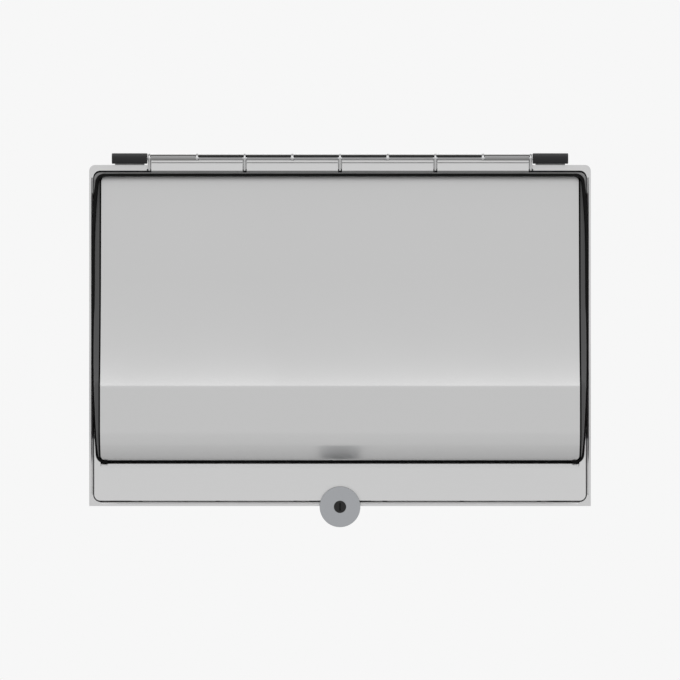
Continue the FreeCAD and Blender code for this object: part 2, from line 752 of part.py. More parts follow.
def make_strike():
    """Bent bridge on the bottom plate that the lock's cam turns up behind."""
    pieces = [box(-strike_outer, strike_outer, strike_front, strike_rear, strike_bottom, strike_top)]
    for side in (-1, 1):
        leg = box(strike_inner, strike_outer, strike_front, strike_rear, WALL, strike_top)
        foot = box(strike_inner, strike_outer, strike_front, strike_front + STRIKE_FOOT_LONG,
                   WALL, WALL + STRIKE_THICK)
        pieces += [leg, foot] if side > 0 else [mirrored(leg), mirrored(foot)]
    bridge = joined(pieces)
    return bridge.cut([screw_hole(s, d, THROUGH, SMALL_SCREW_R + HOLE_ROOM) for s, d in strike_screw_seats()])


def make_strike_screws():
    length = WALL + STRIKE_THICK - STRIKE_SCREW_GAP
    return [pan_screw(s, d, length, SMALL_SCREW_R, SMALL_HEAD_R, SMALL_HEAD) for s, d in strike_screw_seats()]


# Arms and spindles

def arm_outline(x0, x1):
    """Tapered arm from the back plate to the spindle, with a round end."""
    root = -BACK_THICK
    taper = [(root, SPINDLE_HEIGHT - ARM_ROOT_HALF), (root, SPINDLE_HEIGHT + ARM_ROOT_HALF),
             (spindle_y, SPINDLE_HEIGHT + ARM_END_R), (spindle_y, SPINDLE_HEIGHT - ARM_END_R)]
    return [side_prism(taper, x0, x1), rod_x(x0, x1, spindle_y, SPINDLE_HEIGHT, ARM_END_R)]


def make_side_arm():
    flange = box(arm_inner, arm_outer, -BACK_THICK - ARM_THICK, -BACK_THICK,
                 SPINDLE_HEIGHT - ARM_ROOT_HALF, SPINDLE_HEIGHT + ARM_ROOT_HALF)
    arm = joined(arm_outline(arm_inner, arm_inner + ARM_THICK) + [flange])
    bore = rod_x(arm_inner - BORE_OVERRUN, arm_inner + ARM_THICK + BORE_OVERRUN, spindle_y, SPINDLE_HEIGHT,
                 SPINDLE_PIN_R + SPINDLE_PIN_GAP)
    return arm.cut([bore] + [screw_hole(s, d, THROUGH, SCREW_R + HOLE_ROOM) for s, d in arm_screw_seats()])


def make_centre_arm():
    foot = box(-CENTRE_FOOT_HALF, CENTRE_FOOT_HALF, -BACK_THICK - CENTRE_FOOT_THICK, -BACK_THICK,
               SPINDLE_HEIGHT - ARM_ROOT_HALF, SPINDLE_HEIGHT + ARM_ROOT_HALF)
    arm = joined(arm_outline(-CENTRE_ARM_HALF, CENTRE_ARM_HALF) + [foot])
    bore = rod_x(CENTRE_ARM_HALF - CENTRE_BORE_DEEP, CENTRE_ARM_HALF + BORE_OVERRUN, spindle_y, SPINDLE_HEIGHT,
                 SPINDLE_PIN_R + SPINDLE_PIN_GAP)
    cuts = [bore, mirrored(bore)]
    cuts += [flat_hole(s, d, THROUGH, SCREW_R + HOLE_ROOM, SCREW_HEAD_R, SCREW_HEAD)
             for s, d in centre_screw_seats()]
    return arm.cut(cuts)


def make_arm_screws():
    reach = ARM_THICK + 0.8 * BACK_THICK
    centre_reach = CENTRE_FOOT_THICK + 0.8 * BACK_THICK
    screws = [pan_screw(s, d, reach, SCREW_R, SCREW_HEAD_R, SCREW_HEAD) for s, d in arm_screw_seats()]
    return screws + [flat_screw(s, d, centre_reach, SCREW_R, SCREW_HEAD_R, SCREW_HEAD)
                     for s, d in centre_screw_seats()]


def make_spindle_sleeve():
    """Hollow outer half of a spindle, with the pin that turns in the side arm."""
    mouth = sleeve_end - SLEEVE_LONG
    tube = rod_x(mouth, sleeve_end, spindle_y, SPINDLE_HEIGHT, SLEEVE_R)
    tube = tube.makeFillet(SLEEVE_EDGE, [e for e in tube.Edges if not isinstance(e.Curve, Part.Line)])
    pin = rod_x(sleeve_end - BORE_OVERRUN, sleeve_end + SPINDLE_PIN_OUT, spindle_y, SPINDLE_HEIGHT,
                SPINDLE_PIN_R)
    bore = rod_x(mouth - BORE_OVERRUN, sleeve_end - SLEEVE_END_WALL, spindle_y, SPINDLE_HEIGHT,
                 SLEEVE_BORE_R)
    return joined([tube, pin]).cut(bore)


def plunger_shoulder():
    return CENTRE_ARM_HALF + PLUNGER_SHOULDER_GAP


def make_spindle_plunger():
    """Inner half of a spindle: it slides in the sleeve and its nose sits in the centre arm."""
    start = plunger_shoulder()
    tail = start + PLUNGER_LONG
    body = rod_x(start, tail, spindle_y, SPINDLE_HEIGHT, PLUNGER_R)
    body = body.makeFillet(PLUNGER_EDGE, [e for e in body.Edges if not isinstance(e.Curve, Part.Line)])
    nose = rod_x(start - PLUNGER_PIN_LONG, start + BORE_OVERRUN, spindle_y, SPINDLE_HEIGHT, SPINDLE_PIN_R)
    bore = rod_x(start + PLUNGER_HEAD, tail + BORE_OVERRUN, spindle_y, SPINDLE_HEIGHT, PLUNGER_BORE_R)
    return joined([body, nose]).cut(bore)


def make_spindle_spring():
    """Round-wire coil from the plunger's head to the sleeve's end wall."""
    x0 = plunger_shoulder() + PLUNGER_HEAD + SPRING_END_GAP + SPRING_WIRE_R
    x1 = sleeve_end - SLEEVE_END_WALL - SPRING_END_GAP - SPRING_WIRE_R
    long = x1 - x0
    path = Part.makeHelix(long / SPRING_TURNS, long, SPRING_R)
    wire = Part.Wire(Part.makeCircle(SPRING_WIRE_R, V(SPRING_R, 0, 0), V(0, 1, 0)))
    coil = Part.Wire(path.Edges).makePipeShell([wire], True, True)
    coil.rotate(V(0, 0, 0), V(0, 1, 0), 90)
    coil.translate(V(x0, spindle_y, SPINDLE_HEIGHT))
    return coil


# Hinge

def rib_section(x0, x1):
    block = hinge_box(RAIL_BACK_FORWARD, RIB_TOP_FORWARD, -rib_r, lip_under, x0, x1)
    return [hinge_rod(x0, x1, rib_r), block]


def make_hinge_rail():
    """Fixed comb on the casing: foot, upright, top lip and the ribs that carry the pin."""
    top = lip_under + LIP_THICK
    back = RAIL_BACK_FORWARD - RAIL_BACK_THICK
    foot_top = -AXIS_RISE + RAIL_BACK_THICK
    section = [(back - RAIL_FOOT + RAIL_BACK_THICK, -AXIS_RISE), (RAIL_BACK_FORWARD, -AXIS_RISE),
               (RAIL_BACK_FORWARD, lip_under), (LIP_FORWARD, lip_under), (LIP_FORWARD, top), (back, top),
               (back, foot_top), (back - RAIL_FOOT + RAIL_BACK_THICK, foot_top)]
    pieces = [hinge_section(section, -hinge_half, hinge_half)]
    for number in range(-4, 5):
        x = number * rib_pitch
        wide = POST_WIDE if number % 2 == 0 else RIB_WIDE
        x0, x1 = x - wide / 2, x + wide / 2
        pieces += rib_section(x0, x1)
        pieces.append(hinge_box(LIP_FORWARD, RIB_TOP_FORWARD, lip_under, top, x0, x1))
        if number % 2 == 0:
            low = leaf_bottom - axis_z
            pieces.append(hinge_box(-AXIS_FORWARD, LEAF_FRONT, low, 0, x0, x1))
            pieces.append(hinge_box(RAIL_BACK_FORWARD, 0, -AXIS_RISE, 0, x0, x1))
    rail = joined(pieces)
    cuts = [hinge_rod(-hinge_half - BORE_OVERRUN, hinge_half + BORE_OVERRUN, PIN_R + PIVOT_GAP)]
    cuts += [screw_hole(s, d, RAIL_BACK_THICK + CUT_MARGIN, SCREW_R + HOLE_ROOM)
             for s, d in hinge_screw_seats()]
    return rail.cut(cuts)


def make_hinge_rail_screws():
    length = RAIL_BACK_THICK + WALL
    return [pan_screw(s, d, length, SCREW_R, SCREW_HEAD_R, SCREW_HEAD) for s, d in hinge_screw_seats()]


def sleeve_span():
    return 3 * rib_pitch + RIB_WIDE / 2 + RUNNING_GAP, 4 * rib_pitch - POST_WIDE / 2 - RUNNING_GAP


def make_damper_sleeve():
    """Fixed tube in the hinge's last bay, between the damper and the first moving knuckle."""
    x0, x1 = sleeve_span()
    return joined(rib_section(x0, x1)).cut(hinge_rod(x0 - BORE_OVERRUN, x1 + BORE_OVERRUN, PIN_R + PIVOT_GAP))


def make_damper():
    x0 = hinge_half + DAMPER_GAP
    barrel = hinge_rod(x0, x0 + DAMPER_LONG, DAMPER_R)
    barrel = barrel.makeFillet(DAMPER_EDGE, [e for e in barrel.Edges if not isinstance(e.Curve, Part.Line)])
    return barrel.cut(hinge_rod(x0 - BORE_OVERRUN, pin_half + RUNNING_GAP, PIN_R + PIVOT_GAP))


def make_damper_saddle():
    """Block behind and under a damper, screwed to the casing's top."""
    middle = hinge_half + DAMPER_GAP + DAMPER_LONG / 2
    x0, x1 = middle - SADDLE_LONG / 2, middle + SADDLE_LONG / 2
    block = box(x0, x1, front + SADDLE_INSET, front + SADDLE_DEPTH, HEIGHT, HEIGHT + SADDLE_RISE)
    cuts = [hinge_rod(x0 - BORE_OVERRUN, x1 + BORE_OVERRUN, DAMPER_R)]
    cuts += [screw_hole(s, d, THROUGH, SMALL_SCREW_R + HOLE_ROOM) for s, d in saddle_screw_seats()]
    return block.cut(cuts)


def make_saddle_screws():
    length = SADDLE_RISE + 0.9 * WALL
    return [pan_screw(s, d, length, SMALL_SCREW_R, SMALL_HEAD_R, SMALL_HEAD) for s, d in saddle_screw_seats()]


def make_hinge_leaf(number):
    """Moving leaf: knuckles on the pin, a grooved face and a foot on the door's top rail."""
    x0 = number * leaf_pitch + POST_WIDE / 2 + POST_GAP
    x1 = (number + 1) * leaf_pitch - POST_WIDE / 2 - POST_GAP
    low = leaf_bottom - axis_z
    foot_low = door_top - axis_z
    foot_top = foot_low + LEAF_FOOT_THICK
    foot_rear = axis_y - leaf_foot_rear
    groove = LEDGE_BOTTOM - LEAF_GROOVE
    section = [(LEAF_BACK, low), (LEAF_FRONT, low), (LEAF_FRONT, groove - LEAF_GROOVE / 2),
               (LEAF_FRONT - LEAF_GROOVE, groove), (LEDGE_FRONT, LEDGE_BOTTOM), (LEDGE_FRONT, LEDGE_TOP),
               (LEAF_BACK, LEDGE_TOP), (LEAF_BACK, foot_top), (foot_rear, foot_top),
               (foot_rear, foot_low), (LEAF_BACK, foot_low)]
    plate = hinge_section(section, x0, x1)
    middle = (number + 0.5) * leaf_pitch
    bays = [(x0, middle - RIB_WIDE / 2 - RUNNING_GAP), (middle + RIB_WIDE / 2 + RUNNING_GAP, x1)]
    clear_r = rib_r + RUNNING_GAP
    solid_bays = []
    cuts = [hinge_rod(bays[0][1], bays[1][0], clear_r)]
    for bay in bays:
        if max(abs(bay[0]), abs(bay[1])) > 3.5 * rib_pitch:
            cuts.append(hinge_rod(bay[0] - BORE_OVERRUN, bay[1] + BORE_OVERRUN, clear_r))
        else:
            solid_bays.append(bay)
    knuckles = []
    for a, b in solid_bays:
        knuckles.append(hinge_rod(a, b, KNUCKLE_R))
        knuckles.append(hinge_box(LEAF_BACK, KNUCKLE_NECK, LEDGE_TOP, 0, a, b))
    cuts.append(hinge_rod(x0 - BORE_OVERRUN, x1 + BORE_OVERRUN, PIN_R + KEYED_GAP))
    cuts += [flat_hole(s, d, LEAF_FOOT_THICK + CUT_MARGIN, SMALL_SCREW_R + HOLE_ROOM, SMALL_HEAD_R, SMALL_HEAD)
             for s, d in leaf_screw_seats()]
    return joined([plate] + knuckles).cut(cuts)


def make_leaf_screws():
    length = LEAF_FOOT_THICK + RAIL_TOP_SHEET
    return [flat_screw(s, d, length, SMALL_SCREW_R, SMALL_HEAD_R, SMALL_HEAD) for s, d in leaf_screw_seats()]


def make_hinge_pin():
    return hinge_rod(-pin_half, pin_half, PIN_R)


# Door

def cap_block(y0, y1):
    """Outline of the hood with its end caps."""
    return bowed_block(cap_half, hood_bottom, hood_top, CAP_CORNER, y0, y1)


def seal_block(y0, y1):
    """Outline of the rubber ring round the hood and its end caps."""
    return bowed_block(cap_half + SEAL_WIDTH, hood_bottom - SEAL_RISE, hood_top + SEAL_RISE,
                       CAP_CORNER + SEAL_WIDTH, y0, y1)


def make_hood_seal():
    """Black rubber ring in the door's opening, with a lip in front of the casing's bevel."""
    ring = seal_block(seal_front, seal_rear).cut(cap_block(seal_front - 1, seal_rear + 1))
    beyond = inner_half - RUNNING_GAP
    spare = box(beyond, half, front - SEAL_LIP_GAP, 0, 0, HEIGHT)
    foot = box(CAP_CORNER - hood_half, hood_half - CAP_CORNER, seal_front - 1, front + SEAL_FOOT_SETBACK,
               0, HEIGHT / 2)
    return ring.cut([spare, mirrored(spare), foot])


def make_hood_panel():
    sheet = closed_band(0, HOOD_SHEET, front + HOOD_TOP_RECESS + HOOD_RETURN, lug_front - UNDER_GAP,
                        -hood_half, hood_half)
    outline = box(-hood_half, hood_half, -2 * DEPTH, 0, hood_bottom, hood_top)
    outline = outline.makeFillet(HOOD_CORNER, edges_along(outline, V(0, 1, 0), lambda c: True))
    sheet = sheet.common(outline)
    reach = SHOULDER_THICK + 0.7 * HOOD_SHEET + CUT_MARGIN
    return sheet.cut([screw_hole(s, d, reach, SMALL_SCREW_R + THREAD_GAP) for s, d in hood_screw_seats()])


def make_end_cap():
    """Moulded side frame: outer rim, shoulder under the hood sheet and lugs for the rails."""
    outline = cap_block(-2 * DEPTH, 0)
    rim = filled_profile(0, door_rear, groove_outer, half).common(outline)
    outer_front = [e for e in rim.Edges
                   if e.CenterOfMass.x > groove_outer + 1 and e.CenterOfMass.y < door_rear - 2
                   and abs(e.tangentAt(e.FirstParameter).x) < 0.9]
    rim = rim.makeFillet(CAP_EDGE_R, outer_front)
    x0 = groove_outer - SHOULDER_WIDTH
    shoulder = closed_band(HOOD_SHEET, SHOULDER_THICK, door_rear - RAIL_SHEET - LUG_GAP, lug_front,
                           x0, groove_outer).common(outline)
    low_lug = box(x0, groove_outer, front + RAIL_SHEET, door_rear, door_bottom + RAIL_SHEET,
                  bottom_rail_top - LUG_GAP)
    low_post = box(x0, groove_outer, lug_front, door_rear, bottom_rail_top - LUG_GAP, hood_bottom + LUG_RISE)
    high_post = box(x0, groove_outer, front + HOOD_TOP_RECESS + 1.5 * HOOD_SHEET, door_rear - RAIL_SHEET,
                    door_top - RAIL_LEG_DROP, hood_top - HOOD_SHEET)
    web = filled_profile(HOOD_SHEET, door_rear, web_inner, groove_outer).common(outline)
    cap = joined([rim, shoulder, web, low_lug, low_post, high_post])
    cuts = [screw_hole(s, d, LUG_HOLE_DEEP, SMALL_SCREW_R + THREAD_GAP) for s, d in rail_screw_seats()]
    cuts += [screw_hole(s, d, THROUGH, SMALL_SCREW_R + HOLE_ROOM) for s, d in hood_screw_seats()]
    return cap.cut(cuts)


def make_top_rail():
    """Folded rail along the door's top, with a rear leg and two short front horns."""
    flange = box(-door_half, door_half, front, door_rear, door_top - RAIL_TOP_SHEET, door_top)
    leg = box(-web_inner, web_inner, door_rear - RAIL_SHEET, door_rear, door_top - RAIL_LEG_DROP, door_top)
    face = box(-door_half, door_half, front, front + RAIL_SHEET, door_top - HORN_DROP, door_top)
    rail = joined([flange, leg, face]).common(rounded_door())
    cuts = [seal_block(front - BORE_OVERRUN, seal_rear + CUT_MARGIN)]
    cuts += [screw_hole(s, d, RAIL_SHEET + CUT_MARGIN, SMALL_SCREW_R + HOLE_ROOM)
             for s, d in rail_screw_seats()]
    cuts += [screw_hole(s, d, THROUGH, SMALL_SCREW_R + THREAD_GAP) for s, d in leaf_screw_seats()]
    return rail.cut(cuts)


def make_bottom_rail():
    """Channel along the door's bottom, with a bevelled upper edge, horns and the lock tab."""
    bevel_start = bottom_rail_top - RAIL_BEVEL_RISE
    inner = front + RAIL_SHEET
    section = [(front, door_bottom), (front, bevel_start), (front + RAIL_BEVEL_DEPTH, bottom_rail_top),
               (door_rear, bottom_rail_top), (door_rear, bottom_rail_top - RAIL_SHEET),
               (inner + RAIL_BEVEL_DEPTH, bottom_rail_top - RAIL_SHEET), (inner, bevel_start),
               (inner, door_bottom + RAIL_SHEET), (door_rear, door_bottom + RAIL_SHEET),
               (door_rear, door_bottom)]
    channel = side_prism(section, -door_half, door_half)
    face = box(-door_half, door_half, front, inner, door_bottom, bottom_rail_top + HORN_RISE)
    plain = box(-hood_half, hood_half, front - 1, inner + 1, bevel_start, HEIGHT)
    tab = rod_y(front, inner, 0, LOCK_HEIGHT, LOCK_TAB_R)
    neck = box(-LOCK_TAB_R, LOCK_TAB_R, front, inner, LOCK_HEIGHT, door_bottom + RAIL_SHEET)
    rail = joined([channel.common(rounded_door()), face.cut(plain).common(rounded_door()), tab, neck])
    x0 = groove_outer - SHOULDER_WIDTH
    clear = box(x0 - LUG_GAP, half, inner, 0, door_bottom + RAIL_SHEET, HEIGHT)
    cuts = [clear, mirrored(clear), seal_block(front - BORE_OVERRUN, seal_rear + CUT_MARGIN)]
    lock_half = notch_half + LOCK_SIDE_ROOM
    cuts.append(box(-lock_half, lock_half, inner, 0, -FAR_THROUGH, door_bottom + RAIL_SHEET + THREAD_GAP))
    cuts.append(rod_y(front - BORE_OVERRUN, inner + BORE_OVERRUN, 0, LOCK_HEIGHT, BARREL_R + THREAD_GAP))
    return rail.cut(cuts)


def make_rail_screws():
    screws = []
    for seat, direction in rail_screw_seats():
        length = LUG_SCREW_LONG if seat.z < HEIGHT / 2 else LEG_SCREW_LONG
        screws.append(pan_screw(seat, direction, length, SMALL_SCREW_R, SMALL_HEAD_R, SMALL_HEAD))
    return screws


def make_hood_screws():
    length = SHOULDER_THICK + 0.7 * HOOD_SHEET
    return [pan_screw(s, d, length, SMALL_SCREW_R, SMALL_HEAD_R, SMALL_HEAD) for s, d in hood_screw_seats()]


# Lock

def make_lock_disc():
    """Round cover plate on the barrel's front end, with a boss on the door's tab."""
    back = front - SEAL_LIP_GAP
    plate = rod_y(back - DISC_THICK, back, 0, LOCK_HEIGHT, DISC_R)
    rim = [e for e in plate.Edges
           if not isinstance(e.Curve, Part.Line) and e.CenterOfMass.y < back - DISC_THICK / 2]
    plate = plate.makeFillet(DISC_EDGE, rim)
    boss = rod_y(back, front, 0, LOCK_HEIGHT, LOCK_TAB_R - DISC_BOSS_INSET)
    bore = rod_y(back - 2 * DISC_THICK, 0, 0, LOCK_HEIGHT, PLUG_R + PLUG_GAP)
    pocket = rod_y(back - BARREL_SEAT, 0, 0, LOCK_HEIGHT, BARREL_R + THREAD_GAP)
    return joined([plate, boss]).cut([bore, pocket])


def make_lock_barrel():
    barrel = rod_y(front - SEAL_LIP_GAP - BARREL_SEAT, barrel_rear, 0, LOCK_HEIGHT, BARREL_R)
    return barrel.cut(rod_y(-2 * DEPTH, 0, 0, LOCK_HEIGHT, PLUG_R + PLUG_GAP))


def make_lock_nut():
    nut = hexagon(BARREL_R + NUT_WALL, 0, NUT_THICK)
    nut.rotate(V(0, 0, 0), V(1, 0, 0), -90)
    nut.translate(V(0, front + RAIL_SHEET, LOCK_HEIGHT))
    return nut.cut(rod_y(-2 * DEPTH, 0, 0, LOCK_HEIGHT, BARREL_R + THREAD_GAP))


def make_lock_plug():
    """Turning core with its key slot, and the small shaft that carries the cam."""
    face = front - SEAL_LIP_GAP - DISC_THICK - PLUG_PROUD
    core = rod_y(face, cam_front, 0, LOCK_HEIGHT, PLUG_R)
    shaft = rod_y(cam_front - BORE_OVERRUN, cam_front + CAM_THICK, 0, LOCK_HEIGHT, CAM_SHAFT_R)
    slot = box(-KEY_SLOT_WIDE / 2, KEY_SLOT_WIDE / 2, face - BORE_OVERRUN, face + KEY_SLOT_DEEP,
               LOCK_HEIGHT - KEY_SLOT_LONG / 2, LOCK_HEIGHT + KEY_SLOT_LONG / 2)
    screw_end = cam_front + CAM_THICK - CAM_SCREW_LONG - CUT_MARGIN
    bore = rod_y(screw_end, 0, 0, LOCK_HEIGHT, SMALL_SCREW_R + THREAD_GAP)
    return joined([core, shaft]).cut([slot, bore])


def make_lock_cam():
    """Flat tongue that points sideways when unlocked and up behind the strike when locked."""
    rear = cam_front + CAM_THICK
    hub = rod_y(cam_front, rear, 0, LOCK_HEIGHT, CAM_HUB_R)
    cam_long = notch_half - CAM_TIP_GAP
    tongue = box(0, cam_long, cam_front, rear, LOCK_HEIGHT - CAM_HALF, LOCK_HEIGHT + CAM_HALF)
    tongue = tongue.makeFillet(CAM_CORNER, edges_along(tongue, V(0, 1, 0), lambda c: c.x > cam_long / 2))
    bore = rod_y(cam_front - BORE_OVERRUN, rear + BORE_OVERRUN, 0, LOCK_HEIGHT, CAM_SHAFT_R + THREAD_GAP)
    return joined([hub, tongue]).cut(bore)


def make_cam_screw():
    seat = V(0, cam_front + CAM_THICK, LOCK_HEIGHT)
    return pan_screw(seat, V(0, -1, 0), CAM_SCREW_LONG, SMALL_SCREW_R, SCREW_HEAD_R, SMALL_HEAD)


def assembly():
    """Every piece by node name; a list is a node that holds several separate solids."""
    nodes = {
        "casing": make_casing(),
        "bottom_plate": make_bottom_plate(),
        "back_plate": make_back_plate(),
        "back_screws": make_back_screws(),
        "bottom_screws": make_bottom_screws(),
        "tear_bar_rivets": make_tear_rivets(),
        "door_bumpers": make_bumpers(),
        "strike": make_strike(),
        "strike_screws": make_strike_screws(),
        "arm_centre": make_centre_arm(),
        "arm_screws": make_arm_screws(),
        "hinge_rail": make_hinge_rail(),
        "hinge_rail_screws": make_hinge_rail_screws(),
        "saddle_screws": make_saddle_screws(),
        "hinge_pin": make_hinge_pin(),
        "leaf_screws": make_leaf_screws(),
        "hood_panel": make_hood_panel(),
        "hood_seal": make_hood_seal(),
        "top_rail": make_top_rail(),
        "bottom_rail": make_bottom_rail(),
        "rail_screws": make_rail_screws(),
        "hood_screws": make_hood_screws(),
        "lock_disc": make_lock_disc(),
        "lock_barrel": make_lock_barrel(),
        "lock_nut": make_lock_nut(),
        "lock_plug": make_lock_plug(),
        "lock_cam": make_lock_cam(),
        "cam_screw": make_cam_screw(),
    }
    for number in range(4):
        nodes[f"hinge_leaf_{number + 1}"] = make_hinge_leaf(number - 2)
    handed = {
        "tear_bar": make_tear_bar(),
        "arm": make_side_arm(),
        "damper": make_damper(),
        "damper_sleeve": make_damper_sleeve(),
        "damper_saddle": make_damper_saddle(),
        "end_cap": make_end_cap(),
        "spindle_sleeve": make_spindle_sleeve(),
        "spindle_plunger": make_spindle_plunger(),
        "spindle_spring": make_spindle_spring(),
    }
    for name, shape in handed.items():
        nodes[name + "_right"] = shape
        nodes[name + "_left"] = mirrored(shape)
    return nodes


os.makedirs("parts", exist_ok=True)
for name, piece in assembly().items():
    shape = Part.makeCompound(piece) if isinstance(piece, list) else piece
    shape.translate(V(0, 0, -HEIGHT / 2))
    shape.exportStep(os.path.join("parts", name + ".step"))
    print(f"{name:24s} solids {len(shape.Solids):2d}  volume {shape.Volume:11.2f}  valid {shape.isValid()}")
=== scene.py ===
# %% [markdown]
# # A covered holder for two rolls, built in Blender
# The real object is a box of bent aluminium that hangs on a washroom wall.  Its front is a curved
# hood between two moulded end caps, which swings up on a long hinge, and a round disc at the bottom
# covers the lock.  This file dresses the engineered model: each step says what a piece is, how it
# could be made and why it is made this way.  All lengths are metres, and the front faces -Y.

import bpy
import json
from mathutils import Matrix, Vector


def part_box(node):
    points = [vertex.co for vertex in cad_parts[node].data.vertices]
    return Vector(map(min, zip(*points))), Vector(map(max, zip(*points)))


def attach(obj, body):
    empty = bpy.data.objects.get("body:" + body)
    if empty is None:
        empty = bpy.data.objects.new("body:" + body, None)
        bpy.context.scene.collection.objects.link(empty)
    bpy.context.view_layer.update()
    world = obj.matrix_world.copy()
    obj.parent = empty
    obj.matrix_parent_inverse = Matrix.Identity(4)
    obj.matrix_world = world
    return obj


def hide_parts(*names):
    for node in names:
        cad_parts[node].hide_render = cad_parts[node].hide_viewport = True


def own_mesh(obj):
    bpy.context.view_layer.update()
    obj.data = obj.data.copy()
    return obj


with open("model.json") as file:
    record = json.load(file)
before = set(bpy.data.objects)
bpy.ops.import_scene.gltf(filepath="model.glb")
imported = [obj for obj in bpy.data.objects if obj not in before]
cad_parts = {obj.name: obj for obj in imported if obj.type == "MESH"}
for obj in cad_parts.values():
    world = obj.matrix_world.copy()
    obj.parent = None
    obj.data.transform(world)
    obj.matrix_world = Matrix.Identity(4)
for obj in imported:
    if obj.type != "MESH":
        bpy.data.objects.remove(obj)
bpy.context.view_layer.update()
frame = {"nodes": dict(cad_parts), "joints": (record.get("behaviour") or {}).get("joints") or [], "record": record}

# %% [markdown]
# ## Small tools
# Sizes are easier to read in millimetres, so one value turns them into metres.  Colours are given
# as sRGB hex values, while shaders want linear light, so one function converts them.  Node
# trees are only lists of nodes, settings and links: one helper that adds a node is enough.

# %% Units, colours and nodes
import json
import math

import bmesh
import bpy
from mathutils import Vector

MM = 0.001


def srgb(text):
    """Linear RGBA of an sRGB hex colour."""
    values = [int(text[i:i + 2], 16) / 255 for i in (1, 3, 5)]
    return (*[v / 12.92 if v <= 0.04045 else ((v + 0.055) / 1.055) ** 2.4 for v in values], 1.0)


def add(tree, kind, settings={}, links={}):
    """One node: settings are its properties or the values of its inputs, links feed its inputs."""
    made = tree.nodes.new(kind)
    for key, value in settings.items():
        if isinstance(key, str) and key in made.bl_rna.properties:
            setattr(made, key, value)
        else:
            made.inputs[key].default_value = value
    for key, socket in links.items():
        tree.links.new(socket, made.inputs[key])
    return made


print("one pale grey in linear light", [round(v, 3) for v in srgb("#c4c4c4")])

# %% [markdown]
# ## Finishes
# Every surface here is either metal, moulded plastic or rubber.  A finish could be one flat colour,
# but real ones vary a little: a blasted and anodised sheet has a fine grain that scatters light, and
# a handled box is slightly uneven in sheen.  So each finish is one Principled shader with a fine
# grain for the bump and a slow cloud for tone and sheen, both in object coordinates, whose scale
# comes from a size in millimetres.

# %% One recipe for a finish
CLOUD_MM = 60
CLOUD_LOW, CLOUD_HIGH = 0.3, 0.7


def finish(name, tone, spread, metallic, roughness, uneven, grain_mm, grain_depth_mm, **sockets):
    """Material with a slow variation in tone and roughness and a fine grain in its bump."""
    material = bpy.data.materials.new(name)
    material.use_nodes = True
    tree = material.node_tree
    tree.nodes.clear()
    place = add(tree, "ShaderNodeTexCoord").outputs["Object"]
    cloud = add(tree, "ShaderNodeTexNoise", {"Scale": 1 / (CLOUD_MM * MM), "Detail": 3.0},
                {"Vector": place})
    grain = add(tree, "ShaderNodeTexNoise", {"Scale": 1 / (grain_mm * MM), "Detail": 2.0},
                {"Vector": place})
    tint = add(tree, "ShaderNodeMix", {"data_type": "RGBA", 6: srgb(tone), 7: srgb(spread)},
               {0: cloud.outputs[0]})
    sheen = add(tree, "ShaderNodeMapRange",
                {1: CLOUD_LOW, 2: CLOUD_HIGH, 3: roughness - uneven, 4: roughness + uneven},
                {0: cloud.outputs[0]})
    relief = add(tree, "ShaderNodeBump", {"Strength": 1.0, "Distance": grain_depth_mm * MM},
                 {"Height": grain.outputs[0]})
    extra = {key.replace("_", " "): value for key, value in sockets.items()}
    shader = add(tree, "ShaderNodeBsdfPrincipled", {"Metallic": metallic, **extra},
                 {"Base Color": tint.outputs[2], "Roughness": sheen.outputs[0],
                  "Normal": relief.outputs[0]})
    add(tree, "ShaderNodeOutputMaterial", {}, {"Surface": shader.outputs[0]})
    return material


# %% [markdown]
# ### Aluminium
# The casing and the rails are aluminium sheet, blasted and clear anodised: the eye sees an even,
# milky grey with no mirror image.  The hood is the same metal, polished a little before anodising,
# so it shows soft reflections that grow brighter where it leans back.  The hinge's ribs are blasted
# coarser and look darker.  The knuckles are blasted too, and their darker grey is painted shade of
# the hollows round them.  A darker grey still is painted shade, on the faces of the top rail that look
# forward and on the feet of the leaves.  The true grain is near 0.05 mm, too fine to show, so it is
# drawn at about 0.6 mm and very shallow.

# %% Casing, rails, ribs, hood, knuckles and a grey of painted shade
ANODISED = finish("anodised_aluminium_sheet", "#d2d2d2", "#d5d5d5", 1.0, 0.42, 0.02, 0.6, 0.004)
RAIL_ANODISED = finish("anodised_aluminium_rail", "#d2d2d2", "#d4d4d4", 1.0, 0.30, 0.02, 0.6, 0.003)
RIB_BLASTED = finish("blasted_aluminium_rib", "#bebebe", "#c2c2c2", 1.0, 0.55, 0.02, 0.6, 0.004)
# Darker grey that is painted shade, for the top rail's forward faces and the feet of the leaves
PAINTED_SHADE_GREY = finish("sawn_aluminium_edge", "#828282", "#8a8a8a", 1.0, 0.50, 0.03, 0.4, 0.006)
HOOD_ANODISED = finish("anodised_aluminium_hood", "#c9c9c9", "#cbcbcb", 1.0, 0.30, 0.01, 0.6, 0.002)
# Knuckle grey: a blasted finish, with a darker tone that is painted shade of the hollows round them
KNUCKLE_BLASTED_SHADED = finish("blasted_aluminium_knuckle", "#9b9b9c", "#a0a0a1", 1.0, 0.50, 0.02, 0.5, 0.004)
